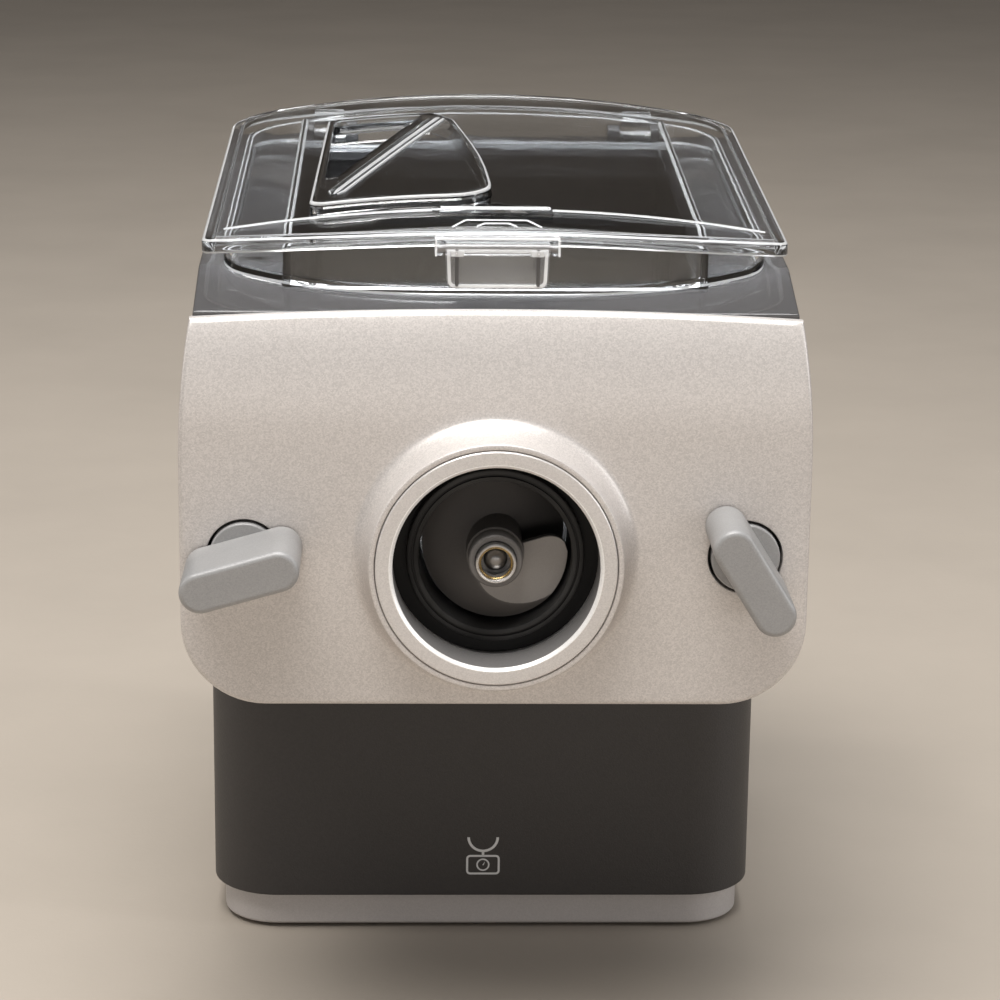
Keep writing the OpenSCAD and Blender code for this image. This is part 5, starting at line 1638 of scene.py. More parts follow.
        # The tab's border and the lugs take the edge acrylic: painted highlight.
        form.tone = 1
        form.grid(np.stack([plane.place(inset(tab, shrink), depth) for shrink, depth in border]),
                  wrap_rows=True, wrap_columns=True)
        for side in (-1, 1):
            rib = box_loop(side * (half - 4) - 0.6, side * (half - 4) + 0.6, -drop + 1.2, 0.0, 0.5, 3)
            form.tone = 2
            form.slab(plane, rib, block_steps(-thick - 0.9, thick - 0.4, 0.35, 2))
            form.tone = 1
            lug = box_loop(side * (half - 4.2) - 2.3, side * (half - 4.2) + 2.3, -2.6, -0.4, 0.5, 3)
            form.slab(plane, lug, block_steps(-thick - 1.2, thick - 0.4, 0.35, 2))
        form.tone = 0
        hook = box_loop(-half + 2.5, half - 2.5, -drop + 0.3, -drop + 1.8, 0.6, 3)
        form.slab(plane, hook, block_steps(-0.4, 2.5, 0.4, 2))
        return form.piece("latch_clip", Finish.clip_plastic, Finish.painted_highlight_plastic, Finish.smoke_plastic,
                          crease=35.0)

    def build(self) -> None:
        """Builds the lid's three pieces."""
        attach(self.cover(), "lid", "clear_plastic", "lid")
        attach(self.hood(), "lid", "clear_plastic", "liquid_inlet")
        attach(self.latch(), "lid_latch", "clear_plastic", "lid_latch")


@dataclass
class TopDeck:
    """Smoky frame around the chamber, with the glossy ledge over the panel."""

    panel: FrontPanel
    lid: Lid
    front_y: float = -129.2
    back_y: float = 107.5
    break_y: float = -96.5
    front_z: float = 270.5
    ledge_slope: float = 0.3
    deck_slope: float = 0.06905
    thick: float = 3.0
    half_open: float = 73.3
    open_front: float = -112.0
    open_back: float = 84.0
    slot_half: float = 6.3
    slot_y: tuple = (88.5, 100.5)
    ear_x: float = 8.8
    ear_w: float = 5.0
    edge: float = 0.8

    def height(self, y: Array) -> Array:
        """Upper face: the ledge rises by its slope to the break, and the deck goes on more gently.

        Args:
            y: Places from front to back.
        Returns:
            The heights.
        """
        ledge = self.front_z + self.ledge_slope * (y - self.front_y + 0.3)
        knee = self.front_z + self.ledge_slope * (self.break_y - self.front_y + 0.3)
        return np.minimum(ledge, knee + self.deck_slope * (y - self.break_y))

    def outline(self) -> Array:
        """Plan: straight front, sides that follow the head's narrowing, and a square back.

        Returns:
            The outline's points.
        """
        rise = np.linspace(self.front_y, self.back_y, 60)
        half = self.panel.side(np.minimum(self.height(rise), self.panel.top)) - 1.0
        right = np.stack([half, rise], -1)
        return np.vstack([between((-half[0], self.front_y), (half[0], self.front_y), 60)[1:], right,
                          between((half[-1], self.back_y), (-half[-1], self.back_y), 50)[1:],
                          right[::-1] * (-1, 1)])

    def frame(self) -> bpy.types.Object:
        """Builds the frame as a thin closed sheet with the chamber's opening and the hinge ears.

        Returns:
            The piece.
        """
        form, loop = Form(), self.outline()
        wide, slot, hinge = self.half_open, self.slot_half, self.lid.hinge_x
        openings = [denser(box_loop(-wide, wide, self.open_front, self.open_back, 2.0, 4), 5.0)]
        for x in (-hinge, hinge):
            openings.append(denser(box_loop(x - slot, x + slot, *self.slot_y, 0.6, 2), 4.0))

        def top(x: Array, y: Array) -> Array:
            """Height of the upper face over plan points."""
            return self.height(y)

        form.sheet(PLAN, inset(loop, self.edge), openings, top, 5.0)
        form.sheet(PLAN, loop, openings, lambda x, y: self.height(y) - self.thick, 6.0)
        form.rings(skirt(PLAN, loop, [*soft_edge(self.edge, 0.0, -1, 4), (0.0, -self.thick)], top))
        for opening in openings:
            form.rings(skirt(PLAN, opening, [(0.0, 0.0), (0.0, -self.thick)], top))
        y, z = self.lid.hinge_y, self.lid.hinge_z
        ear = rounded([(y - 4.3, z - 4.5), (y + 4.3, z - 4.5), (y + 4.3, z + 4.2), (y - 4.3, z + 4.2)],
                      [0.3, 0.3, 4.1, 4.1], 8)
        for side in (-1, 1):
            for inner in (-1, 1):
                middle = side * hinge + inner * self.ear_x
                form.slab(SIDE, ear, block_steps(middle - self.ear_w / 2, middle + self.ear_w / 2, 0.4, 2))
        return form.piece("ledge_frame", Finish.smoke_plastic, crease=30.0)

    def build(self) -> None:
        """Builds the frame."""
        attach(self.frame(), "casing", "smoke_plastic", "top_frame")


@dataclass
class Chamber:
    """Clear mixing bin: a rounded trough whose tray and upright rim lie on the smoky frame."""

    lay: Layout
    lid: Lid
    deck: TopDeck
    half_w: float = 70.0
    wall: float = 2.8
    trough_r: float = 46.0
    flank: float = 44.0
    front_y: float = -111.5
    back_y: float = 83.5
    rim_inset: float = 7.0
    rim_wall: float = 2.5
    rim_nose: float = 12.0
    tray_t: float = 1.2
    tray_gap: float = 0.3
    port_r: float = 31.0
    crest: float = 1.0
    seal_r: float = 12.0

    def roof(self, x: Array, y: Array) -> Array:
        """Height just under the lid above a plan point, less a small gap.

        Args:
            x: Places across.
            y: Places from front to back.
        Returns:
            The heights.
        """
        turn = math.radians(self.lid.tilt)
        v = (y - self.lid.front_y) / math.cos(turn)
        crown = self.lid.top(x, v) - self.lid.wall - 2.0
        return self.lid.front_z + v * math.sin(turn) + crown * math.cos(turn)

    def bin(self) -> bpy.types.Object:
        """Builds the bin as one closed wall: outer skin, inner skin, end walls and the rim.

        Returns:
            The piece.
        """
        form = Form()
        self.add_trough(form)
        self.add_tray(form)
        return form.piece("chamber_bin", Finish.clear_plastic, Finish.painted_highlight_plastic, crease=32.0)

    def add_trough(self, form: Form) -> None:
        """Adds the trough: the section carried from front to back, open at its top.

        Args:
            form: The form that takes the surfaces.
        """
        axis = self.lay.axis_z

        def profile(grow: float) -> Array:
            """Section of the trough, grown outwards: straight flanks on a half circle.

            Args:
                grow: How far the section lies outside the inner skin.
            Returns:
                The section's points.
            """
            half, radius = self.half_w + grow, self.trough_r + grow
            knee = np.array([half, axis + self.flank])
            arms = between(knee, (radius, axis), 10)
            top = between((half, 400.0), knee, 2)[:1]
            left = np.vstack([top, arms]) * (-1, 1)
            return np.vstack([left, arc((0, axis), radius, 180, 360, 44), arms[::-1] + 0.0,
                              [(half, 400.0)]])

        sheets = []
        for grow in (self.wall, 0.0):
            flat, spare = profile(grow), self.wall - grow
            along = np.linspace(self.front_y + spare, self.back_y - spare, 40)
            surface = np.stack([FRONT.place(flat, y) for y in along])
            roof = self.roof(surface[..., 0], surface[..., 1]) - self.crest
            surface[..., 2] = np.minimum(surface[..., 2], roof)
            form.grid(surface)
            sheets.append(surface)
        outer, inner = sheets
        for i in (0, -1):
            # Tone 1 on the wall tops' rounded sides paints highlight lines.
            form.grid(self.rounded_top(outer[:, i], inner[:, i]), tones=[1, 1, 0, 0, 1, 1])
        for end, hole_r in ((0, self.port_r), (-1, self.seal_r)):
            for surface in (outer, inner):
                self.add_end(form, surface[end], hole_r)
            hole = circle((0, axis), hole_r, 96)
            form.rings([FRONT.place(hole, outer[end][0, 1]), FRONT.place(hole, inner[end][0, 1])])
        for end in (0, -1):
            tops = []
            for surface in (outer, inner):
                y = surface[end][0, 1]
                x = np.linspace(surface[end][0, 0], surface[end][-1, 0], 30)
                tops.append(np.stack([x, np.full_like(x, y), self.roof(x, y) - self.crest], -1))
            form.grid(self.rounded_top(*tops))

    def rounded_top(self, outer: Array, inner: Array) -> Array:
        """Rows over the top of a wall, raised by the sine of the way across from 0 to 180 degrees.

        Args:
            outer: The wall's outer edge.
            inner: Its inner edge.
        Returns:
            Rows of points.
        """
        share = np.linspace(0, 1, 7)[:, None, None]
        rows = outer * (1 - share) + inner * share
        rows[..., 2] += self.crest * np.sin(np.pi * share[..., 0]) ** 0.7
        return rows

    def add_end(self, form: Form, edge: Array, hole_r: float) -> None:
        """Adds one face of an end wall, with its round hole, up to the roof line.

        Args:
            form: The form that takes the surfaces.
            edge: The trough's section at this face.
            hole_r: Radius of the hole.
        """
        y = edge[0, 1]
        x = np.linspace(edge[-1, 0], edge[0, 0], 30)[1:-1]
        loop = np.vstack([edge[:, [0, 2]], np.stack([x, self.roof(x, y) - self.crest], -1)])
        hole = circle((0, self.lay.axis_z), hole_r, 96)
        form.sheet(FRONT, loop, [hole], lambda a, b: np.full_like(a, y), 9.0)

    def add_tray(self, form: Form) -> None:
        """Adds the tray on the frame and the upright wall around it, which bows forward.

        Args:
            form: The form that takes the surfaces.
        """
        lid, turn = self.lid, math.radians(self.lid.tilt)
        loop = lid.outline(self.rim_inset, self.rim_nose)
        plan = np.stack([loop[:, 0], lid.front_y + loop[:, 1] * math.cos(turn)], -1)
        inner = inset(plan, self.rim_wall)

        def floor(flat: Array, lift: float) -> Array:
            """Height of the tray's underside, raised by a lift."""
            return self.deck.height(flat[:, 1]) + self.tray_gap + lift

        def ceiling(flat: Array, drop: float) -> Array:
            """Height of the upright wall's top under the lid's rim, lowered by a drop.

            Args:
                flat: Points in plan.
                drop: How far below the top.
            Returns:
                The heights.
            """
            v = (flat[:, 1] - lid.front_y) / math.cos(turn)
            rim = lid.bottom(flat[:, 0]) - 0.5 - drop
            return np.maximum(lid.front_z + v * math.sin(turn) + rim * math.cos(turn), floor(flat, 2.6))

        steps = ((0.0, floor, 0.0), (0.0, floor, 0.9), (0.0, ceiling, 0.7), (0.25, ceiling, 0.2),
                 (0.8, ceiling, 0.0), (self.rim_wall - 0.6, ceiling, 0.0),
                 (self.rim_wall - 0.1, ceiling, 0.4))
        rings = [PLAN.place(inset(plan, shrink), level(plan, shift)) for shrink, level, shift in steps]
        sill = inset(inner, 0.9)
        rings += [PLAN.place(inner, floor(inner, self.tray_t + 1.1)),
                  PLAN.place(sill, floor(sill, self.tray_t))]
        # Tone 1 on the tray's and upright wall's edges paints highlight lines.
        form.rings(rings, [1, 0, 1, 1, 0, 1, 0, 0])
        half = self.half_w + self.wall - 0.02
        hole = denser(box_loop(-half, half, self.front_y + 0.02, self.back_y - 0.02, 1.0, 2), 6.0)
        bound = inset(inner, 1.6)
        bound = bound[bound[:, 1] < self.front_y + 20]
        bound = bound[np.argsort(bound[:, 0])]
        hole[:, 1] = np.maximum(hole[:, 1], np.interp(hole[:, 0], bound[:, 0], bound[:, 1]))
        bed = self.tray_gap
        form.sheet(PLAN, sill, [hole], lambda x, y: self.deck.height(y) + bed + self.tray_t, 6.0)
        form.sheet(PLAN, plan, [hole], lambda x, y: self.deck.height(y) + bed, 6.0)
        form.rings([PLAN.place(hole, floor(hole, lift)) for lift in (0.0, self.tray_t)])

    def build(self) -> None:
        """Builds the bin."""
        attach(self.bin(), "casing", "clear_plastic", "mixing_chamber")


# ---------------------------------------------------------------- casings behind the panel


def softened(node: str, name: str, finish: Finish, edge: float, angle: float = 28.0) -> bpy.types.Object:
    """Makes a copy of a frame's node with merged corners, joined flat areas and rounded edges.

    Args:
        node: The node to copy.
        name: The new piece's name.
        finish: Its finish.
        edge: Radius of the rounded edges in millimetres.
        angle: Angle in degrees from which an edge is rounded.
    Returns:
        The new piece.
    """
    mesh = bpy.data.objects[node].data.copy()
    mesh.name = name
    work = bmesh.new()
    work.from_mesh(mesh)
    bmesh.ops.remove_doubles(work, verts=work.verts, dist=MERGE_NODE)
    bmesh.ops.dissolve_limit(work, angle_limit=math.radians(FLAT_ANGLE), verts=work.verts, edges=work.edges)
    work.to_mesh(mesh)
    work.free()
    mesh.materials.clear()
    mesh.materials.append(finish.make())
    mesh.polygons.foreach_set("material_index", np.zeros(len(mesh.polygons), np.int32))
    piece = linked(name, mesh, angle)
    bevel = piece.modifiers.new("round_edges", "BEVEL")
    bevel.width = edge * MM
    bevel.segments = 2
    bevel.limit_method = "ANGLE"
    bevel.angle_limit = math.radians(angle)
    return shade_evenly(piece)


def add_plate(form: Form, plane: Plane, outer: Array, holes: Sequence[Array], low: float, high: float,
              edge: float, pitch: float = 5.0) -> None:
    """Adds a flat plate with holes, its front edge and the holes' front edges rounded.

    Args:
        form: The form that takes the surfaces.
        plane: Where the outline is drawn.
        outer: The plate's outline.
        holes: Outlines of its holes.
        low: Depth of its back.
        high: Depth of its front.
        edge: Radius of the front edges.
        pitch: Size of the surface's cells.
    """
    form.sheet(plane, inset(outer, edge), [inset(hole, -edge) for hole in holes],
               lambda a, b: np.full_like(a, high), pitch)
    form.sheet(plane, outer, list(holes), lambda a, b: np.full_like(a, low), pitch * 2)
    steps = np.array([*soft_edge(edge, high, -1, 3), (0.0, low)])
    form.slab(plane, outer, steps, capped=False)
    for hole in holes:
        form.slab(plane, hole, steps * (-1, 1), capped=False)


@dataclass
class Casings:
    """Dark casings of the head and the motor bay, with the cover's screws and the lead's outlet."""

    lay: Layout
    screw_r: float = 3.6
    screw_out: float = 1.3
    shank_r: float = 1.6
    shank_deep: float = -20.0

    def screws(self) -> bpy.types.Object:
        """Builds the four cover screws: domed heads with a cross recess, and their shanks.

        Returns:
            The piece.
        """
        low, high = edges_of("cover_screws")
        form = Form()
        face = self.lay.rear_y
        tall = self.screw_out
        for x in (low[0] + self.screw_r, high[0] - self.screw_r):
            for z in (low[2] + self.screw_r, high[2] - self.screw_r):
                plane = FRONT.moved(x, z, face)
                dome = [(self.screw_r * math.sin(a), tall * math.cos(a) ** 0.6)
                        for a in np.linspace(np.pi / 2, 0.62, 7)]
                shank = [(0.0, self.shank_deep), (self.shank_r, self.shank_deep), (self.shank_r, 0.0)]
                form.turned(plane, [*shank, (self.screw_r, 0.0), *dome, (1.7, tall * 0.75),
                                    (0.0, tall * 0.35)], 32, closed=False)
        return form.piece("cover_screw_set", Finish.steel, crease=30.0)

    def gland(self) -> bpy.types.Object:
        """Builds the lead's outlet: a rubber collar with a rounded lip and three grooves.

        Returns:
            The piece.
        """
        low, high = edges_of("cord_gland")
        centre = middle_of("cord_gland")
        outer, back, front = (high[0] - low[0]) / 2, low[1], high[1]
        face = self.lay.rear_y
        bore = 3.75
        grooves = []
        for step in range(3):
            y = back + 1.5 + 2.6 * step
            grooves += [(6.9, y), (6.3, y + 0.5), (6.3, y + 1.1), (6.9, y + 1.6)]
        profile = [(bore, back + 0.4), (bore + 0.4, back), (6.6, back), *grooves, (6.95, face - 0.3),
                   (outer - 0.3, face - 0.1), (outer, face + 0.25), (outer - 0.1, front - 0.5),
                   (outer - 0.7, front), (bore + 1.2, front), (bore + 0.3, front - 0.4), (bore, front - 1.2)]
        form = Form()
        form.turned(FRONT.moved(float(centre[0]), float(centre[2])), profile, 72)
        return form.piece("lead_outlet", Finish.rubber, crease=40.0)

    def build(self) -> None:
        """Builds the housings, the cap, the cover, its screws and the outlet."""
        for node, name, edge in (("head_housing", "head_case", 0.7), ("rear_cap", "rear_case_cap", 1.2),
                                 ("rear_cover", "rear_case_cover", 0.5)):
            attach(softened(node, name, Finish.charcoal_plastic, edge), "casing", "charcoal_plastic", node)
        attach(self.screws(), "casing", "steel", "cover_screws")
        attach(self.gland(), "casing", "rubber", "cord_gland")


@dataclass
class Base:
    """Base with its wrap-round drawer front, tray, pale plinth and feet."""

    corner: float = 26.0
    wall: float = 3.0
    edge: float = 0.8
    plinth_inset: float = 4.0
    foot_r: float = 9.0
    plinth_wall: float = 2.8
    sign_z: float = 30.5
    print_t: float = 0.06

    def drawer(self) -> bpy.types.Object:
        """Builds the drawer's front: a wall carried round both front corners.

        Returns:
            The piece.
        """
        low, high = edges_of("drawer_front")
        half, front, back = high[0], low[1], high[1]

        def path(shrink: float) -> Array:
            """One side of the wall in plan, from the back left round the front to the back right.

            Args:
                shrink: How far inside the outer face.
            Returns:
                The path's points.
            """
            radius, x = self.corner - shrink, half - self.corner
            y = front + self.corner
            return np.vstack([[(shrink - half, back)], arc((-x, y), radius, 180, 270, 18),
                              between((-x, front + shrink), (x, front + shrink), 40),
                              arc((x, y), radius, 270, 360, 18), [(half - shrink, y), (half - shrink, back)]])

        loop = np.vstack([path(0.0), path(self.wall)[::-1]])
        form = Form()
        form.slab(PLAN, loop, block_steps(low[2], high[2], self.edge, 3))
        return form.piece("drawer_face", Finish.charcoal_plastic, crease=30.0)

    def scale_mark(self) -> bpy.types.Object:
        """Builds a small printed sign for weighing: a bowl over a block with a round dial.

        Returns:
            The piece.
        """
        form = Form()
        low, _ = edges_of("drawer_front")
        plane = FRONT.moved(0.0, self.sign_z, float(low[1]) - self.print_t / 2)
        bowl = np.vstack([arc((0, 9.2), 6.2, 180, 360, 24), [(6.2, 9.2)], [(5.2, 9.2)],
                          arc((0, 9.2), 5.2, 360, 180, 24)[1:], [(-5.2, 9.2)]])
        flat = [(0.0, 0.0), (0.0, self.print_t)]
        for shape in (bowl, box_loop(-0.5, 0.5, 1.6, 3.2, 0.1, 2)):
            form.slab(plane, shape, flat)
        scale, dial = box_loop(-6.6, 6.6, -6.4, 1.8, 1.6, 5), circle((0, -2.3), 2.6, 40)
        for outer, width in ((scale, 0.8), (dial, 0.6)):
            ring = [plane.place(inset(outer, shrink), depth) for shrink, depth in (
                (0.0, self.print_t), (0.0, 0.0), (width, 0.0), (width, self.print_t))]
            form.grid(np.stack(ring), wrap_rows=True, wrap_columns=True)
        form.slab(plane, rounded([(-0.3, -2.5), (0.3, -2.5), (0.9, -0.7)], 0.05, 2), flat)
        return form.piece("weighing_sign", Finish.mark_white, crease=30.0)

    def plinth(self) -> bpy.types.Object:
        """Builds the plinth as a shallow cup with rounded edges.

        Returns:
            The piece.
        """
        low, high = edges_of("plinth")
        loop = denser(box_loop(low[0], high[0], low[1], high[1], self.corner - self.plinth_inset, 16), 8.0)
        wall = self.plinth_wall
        steps = (soft_edge(1.4, low[2], 1, 4) + soft_edge(0.7, high[2], -1, 3)[::-1]
                 + [(wall, high[2]), (wall, low[2] + wall)])
        form = Form()
        form.slab(PLAN, loop, steps)
        return form.piece("plinth_band", Finish.plinth_grey, crease=30.0)

    def feet(self) -> bpy.types.Object:
        """Builds the four rubber feet: discs with a round lower edge and a stem.

        Returns:
            The piece.
        """
        low, high = edges_of("feet")
        form = Form()
        profile = [(0.0, 0.0), (6.5, 0.0), (7.0, 0.25), (7.6, 0.25), (8.4, 0.1), (8.85, 0.4), (9.0, 0.8),
                   (9.0, 1.5), (3.0, 1.5), (3.0, high[2]), (0.0, high[2])]
        for x in (low[0] + self.foot_r, high[0] - self.foot_r):
            for y in (low[1] + self.foot_r, high[1] - self.foot_r):
                form.turned(PLAN.moved(x, y), profile, 48, closed=False)
        return form.piece("rubber_feet", Finish.rubber, crease=35.0)

    def build(self) -> None:
        """Builds the base's pieces."""
        attach(self.drawer(), "drawer", "charcoal_plastic", "drawer_front")
        attach(self.scale_mark(), "drawer", "pale_plastic")
        tray = softened("drawer_tray", "drawer_tray_box", Finish.pale_plastic, 0.8)
        attach(tray, "drawer", "pale_plastic", "drawer_tray")
        case = softened("base_shell", "base_case", Finish.charcoal_plastic, 0.5)
        attach(case, "casing", "charcoal_plastic", "base_shell")
        attach(self.plinth(), "casing", "plinth_grey", "plinth")
        attach(self.feet(), "casing", "rubber", "feet")


@dataclass
class ControlPanel:
    """Control panel on the right side: glossy bezel, display and four round keys with signs."""

    corner: float = 6.0
    thick: float = 3.0
    key_r: float = 6.0
    key_tall: float = 3.9
    dish_r: float = 5.0
    dish: float = 0.35
    digit_half: tuple = (2.3, 2.6)
    digit_pitch: float = 10.0
    keys: tuple = ("power", "program", "weigh", "start")

    def bezel(self) -> bpy.types.Object:
        """Builds the bezel with its window and four key holes, and the legs behind it.

        Returns:
            The piece.
        """
        low, high = edges_of("control_bezel")
        window_low, window_high = edges_of("display_window")
        form = Form()
        outer = denser(box_loop(low[1], high[1], low[2], high[2], self.corner, 8), 6.0)
        window = box_loop(window_low[1], window_high[1], window_low[2], window_high[2], 0.8, 3)
        holes = [circle(middle_of(f"{key}_button")[1:], self.key_r + 0.3, 56) for key in self.keys]
        add_plate(form, SIDE, outer, [denser(window, 4.0), *holes], high[0] - self.thick, high[0], 0.4)
        for y in (low[1] + 5, high[1] - 5):
            for z in (low[2] + 5, high[2] - 5):
                leg = rod_profile(2.5, low[0], high[0] - self.thick + 0.2, 0.2, 2)
                form.turned(SIDE.moved(y, z), leg, 24, closed=False)
        return form.piece("control_bezel_plate", Finish.black_gloss, crease=30.0)

    def key(self, name: str) -> bpy.types.Object:
        """Builds one key: a cap with a dished top and round edge, its collar and its stem.

        Args:
            name: The key's name.
        Returns:
            The piece.
        """
        node = f"{name}_button"
        low, high = edges_of(node)
        axis = SIDE.moved(*middle_of(node)[1:])
        top = high[0]
        back = top - self.key_tall
        form = Form()
        dish = [(r, top - self.dish * (1 - (r / self.dish_r) ** 2)) for r in np.linspace(0, self.dish_r, 8)]
        rim = [(5.3, top), (5.65, top - 0.1), (5.9, top - 0.35), (6.0, top - 0.7)]
        form.turned(axis, [*dish, *rim, (6.0, back), (7.0, back), (7.0, back - 1.2), (2.0, back - 1.2),
                           (2.0, low[0]), (0.0, low[0])], 56, closed=False)
        form.tone = 1
        for shape in self.sign(name):
            form.slab(axis, shape, [(0.0, top - 0.5), (0.0, top - 0.12)])
        return form.piece(f"{name}_key", Finish.key_grey, Finish.mark_white, crease=30.0)

    def sign(self, name: str) -> list[Array]:
        """Outlines of a key's plain printed sign.

        Args:
            name: The key's name.
        Returns:
            The sign's outlines.
        """
        if name == "power":
            open_ring = np.vstack([arc((0, 0), 2.6, 125, 415, 30), arc((0, 0), 2.1, 415, 125, 30)])
            return [open_ring, box_loop(-0.27, 0.27, 0.8, 3.2, 0.1, 2)]
        if name == "program":
            return [box_loop(-2.4, 2.4, h - 0.25, h + 0.25, 0.1, 2) for h in (-1.6, 0.0, 1.6)]
        if name == "weigh":
            return [box_loop(-2.2, 2.2, -2.2, -0.2, 0.4, 4), box_loop(-2.7, 2.7, 1.0, 1.5, 0.15, 3),
                    box_loop(-0.25, 0.25, -0.3, 1.1, 0.05, 2)]
        return [rounded([(-1.6, -2.3), (2.5, 0.0), (-1.6, 2.3)], 0.3, 4)]

    def digits(self) -> bpy.types.Object:
        """Builds the lit digits on the display: bars of seven-part numerals, one number of minutes.

        Returns:
            The piece.
        """
        low, high = edges_of("display_module")
        parts = {"0": "abcdef", "1": "bc"}
        place = {"a": (0, 2, 1), "b": (1, 1, 0), "c": (1, -1, 0), "d": (0, -2, 1), "e": (-1, -1, 0),
                 "f": (-1, 1, 0)}
        form = Form()
        centre_y, centre_z = (low[1] + high[1]) / 2, (low[2] + high[2]) / 2
        wide, tall = self.digit_half
        for index, digit in enumerate("10"):
            start = centre_y - 5.5 + self.digit_pitch * index
            for part in parts[digit]:
                side, level, flat = place[part]
                y, z = start + side * wide, centre_z + level * tall
                half_y, half_z = (1.7, 0.45) if flat else (0.45, 2.1)
                loop = box_loop(y - half_y, y + half_y, z - half_z, z + half_z, 0.4, 3)
                form.slab(SIDE, loop, [(0.0, high[0] - 0.05), (0.0, high[0] + 0.15)])
        return form.piece("display_digits", Finish.lit_digits, crease=30.0)

    def build(self) -> None:
        """Builds the panel's pieces."""
        attach(self.bezel(), "casing", "black_gloss", "control_bezel")
        for name in self.keys:
            attach(self.key(name), f"{name}_button", "key_grey", f"{name}_button")
        attach(self.digits(), "casing", "pale_plastic")


# ---------------------------------------------------------------- pieces that keep their frame shape


KEPT_FINISHES = {
    # The latch pin inside its barrel takes the darker steel: painted shade.
    Finish.steel_painted_shade: ("latch_pin",),
    Finish.steel: ("left_cam", "right_cam", "lid_hinge_pins", "drive_shaft", "idler_axle",
                   "armature_shaft", "front_bearing", "rear_bearing", "gearbox_posts", "motor"),
    Finish.brass: ("motor_pinion",),
    Finish.aluminium: ("gearbox_front_plate", "gearbox_rear_plate", "load_cells"),
    Finish.gear_white: ("output_gear", "idler_gear"),
    Finish.black_plastic: ("knob_bushes", "cooling_fan", "drawer_runners"),
    Finish.charcoal_plastic: ("base_plate",),
    Finish.auger_grey: ("mixing_paddle",),
    Finish.rubber: ("shaft_seal",),
    Finish.circuit_board: ("control_board", "power_board"),
    Finish.black_gloss: ("display_module",),
    Finish.display_glass: ("display_window",),
}


def dress_kept(nodes: dict) -> None:
    """Gives every node that keeps its own shape its finish.

    Args:
        nodes: The frame's objects by node name.
    """
    for finish, names in KEPT_FINISHES.items():
        for name in names:
            slots = nodes[name].material_slots
            for slot in slots:
                slot.material = finish.make()
            if not slots:
                nodes[name].data.materials.append(finish.make())
            log.info("%s keeps its shape in %s", name, finish.name)


# ---------------------------------------------------------------- floor, light and camera


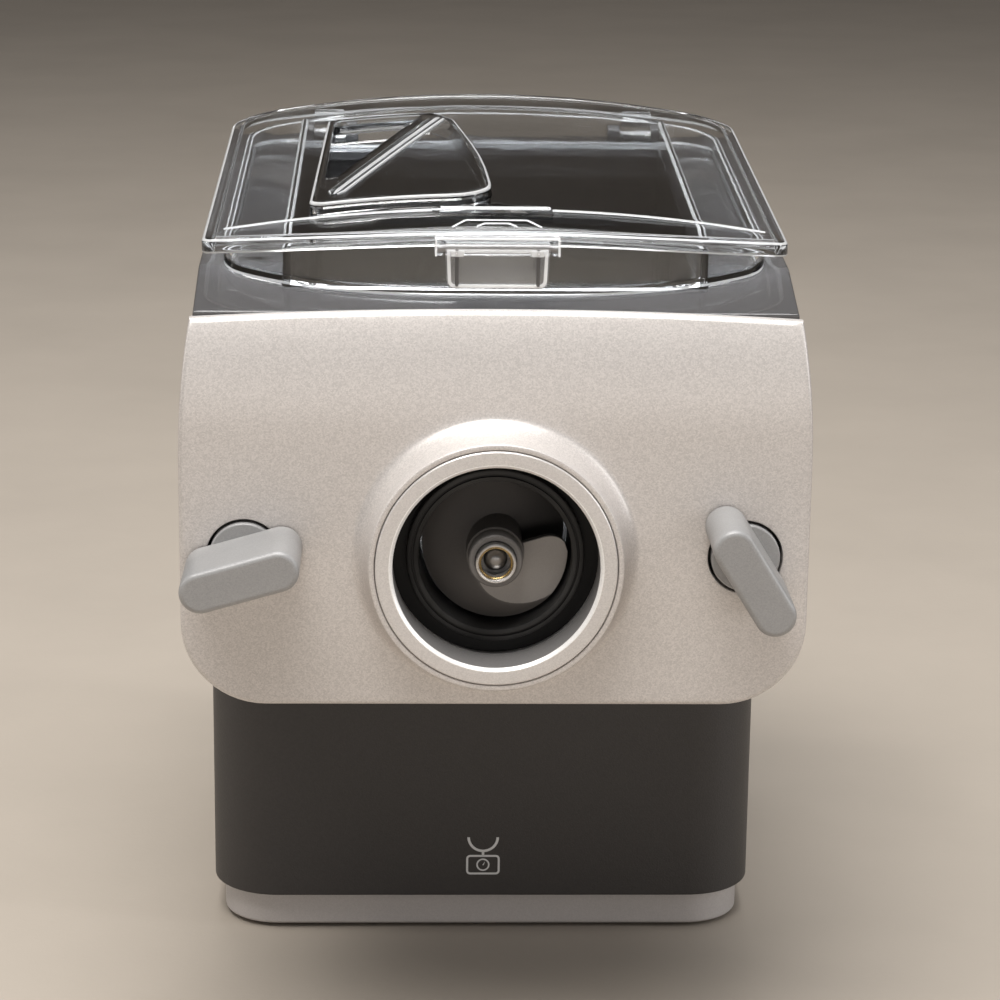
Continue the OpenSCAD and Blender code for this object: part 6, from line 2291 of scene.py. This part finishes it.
@dataclass
class Studio:
    """Plain pale floor, soft lamps and the camera."""

    floor_tint: tuple = colour(0.44, 0.385, 0.325)
    floor_half: float = 9.0
    floor_front: float = -4.0
    floor_rise: float = 6.0
    focal: float = 107.02
    sensor: float = 36.0
    place: tuple = (-0.0292, -1.1141, 0.4725)
    pitch: float = 15.18
    yaw: float = 1.8
    roll: float = 0.67

    def floor(self) -> None:
        """Builds a wide floor that curls up far behind the machine."""
        half = self.floor_half
        run = np.concatenate([np.linspace(self.floor_front, half, 40), np.full(12, half)])
        rise = np.concatenate([np.zeros(40), np.linspace(0.0, self.floor_rise, 13)[1:]])
        across = np.linspace(-half, half, 30)
        points = np.stack(np.broadcast_arrays(across[None], run[:, None], rise[:, None]), -1)
        form = Form()
        form.grid(points / MM)
        floor = form.piece("floor", Floor("pale_floor", self.floor_tint))

    def lamp(self, name: str, place: Sequence[float], aim: Sequence[float], size: Sequence[float],
             power: float, tint: Sequence[float]) -> None:
        """Adds a rectangular soft lamp that faces a point.

        Args:
            name: The lamp's name.
            place: Where it stands, in metres.
            aim: The point it faces.
            size: Its width and height.
            power: Its power in watts.
            tint: Its colour.
        """
        data = bpy.data.lights.new(name, "AREA")
        data.shape = "RECTANGLE"
        data.size, data.size_y = size
        data.energy = power
        data.color = tint
        lamp = bpy.data.objects.new(name, data)
        lamp.location = place
        lamp.rotation_euler = (Vector(aim) - Vector(place)).to_track_quat("-Z", "Y").to_euler()
        lamp.visible_camera = False
        bpy.context.scene.collection.objects.link(lamp)

    def lamps(self) -> None:
        """Sets the lamps and a soft grey world."""
        middle = (0.0, 0.0, 0.2)
        self.lamp("key_light", (-0.45, -0.75, 2.4), middle, (1.6, 1.2), 69.0, (1.0, 0.985, 0.96))
        self.lamp("top_light", (0.2, 0.1, 2.4), (0.0, 0.0, 0.28), (2.4, 0.7), 30.0, (0.98, 0.99, 1.0))
        self.lamp("low_front_fill", (0.05, -1.9, 0.30), (0.0, 0.0, 0.06), (1.8, 0.24), 4.2, (1.0, 0.95, 0.90))
        self.lamp("left_fill", (-2.0, 0.0, 0.9), middle, (0.18, 1.5), 6.0, (1.0, 0.97, 0.93))
        self.lamp("right_fill", (2.0, -0.6, 0.9), middle, (0.22, 1.5), 13.0, (0.98, 0.985, 1.0))
        world = bpy.data.worlds.new("soft_world")
        world.use_nodes = True
        sky = world.node_tree.nodes["Background"]
        Graph(world.node_tree).feed(sky, {"Color": colour(0.80, 0.80, 0.82), "Strength": 0.16})
        bpy.context.scene.world = world

    def camera(self) -> None:
        """Sets the camera: it stands in front, looks slightly down and is rolled a little."""
        data = bpy.data.cameras.new("camera")
        data.lens, data.sensor_width = self.focal, self.sensor
        data.clip_end = 100.0
        camera = bpy.data.objects.new("camera", data)
        pitch, yaw, roll = (math.radians(a) for a in (self.pitch, self.yaw, self.roll))
        ahead = Vector((math.sin(yaw) * math.cos(pitch), math.cos(yaw) * math.cos(pitch), -math.sin(pitch)))
        right = Vector((math.cos(yaw), -math.sin(yaw), 0.0))
        up = right.cross(ahead)
        right, up = right * math.cos(roll) + up * math.sin(roll), up * math.cos(roll) - right * math.sin(roll)
        turned = Matrix((right, up, -ahead)).transposed()
        camera.matrix_world = Matrix.Translation(self.place) @ turned.to_4x4()
        bpy.context.scene.collection.objects.link(camera)
        bpy.context.scene.camera = camera

    def build(self) -> None:
        """Builds the stage."""
        self.camera()
        self.floor()
        self.lamps()
        bpy.context.scene.view_settings.view_transform = "Standard"


def main() -> None:
    """Builds the looks around the frame."""
    logging.basicConfig(level=logging.INFO, format="%(message)s")
    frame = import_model()
    lay = Layout.from_frame()
    Studio().build()
    panel = FrontPanel(lay)
    lid = Lid()
    deck = TopDeck(panel, lid)
    parts = [panel, LockGrip(lay, "left", -1, 16.0), LockGrip(lay, "right", 1, -58.0), Mouth(lay), lid, deck,
             Chamber(lay, lid, deck), Casings(lay), Base(), ControlPanel()]
    for part in parts:
        part.build()
    dress_kept(frame["nodes"])


if __name__ == "__main__":
    main()
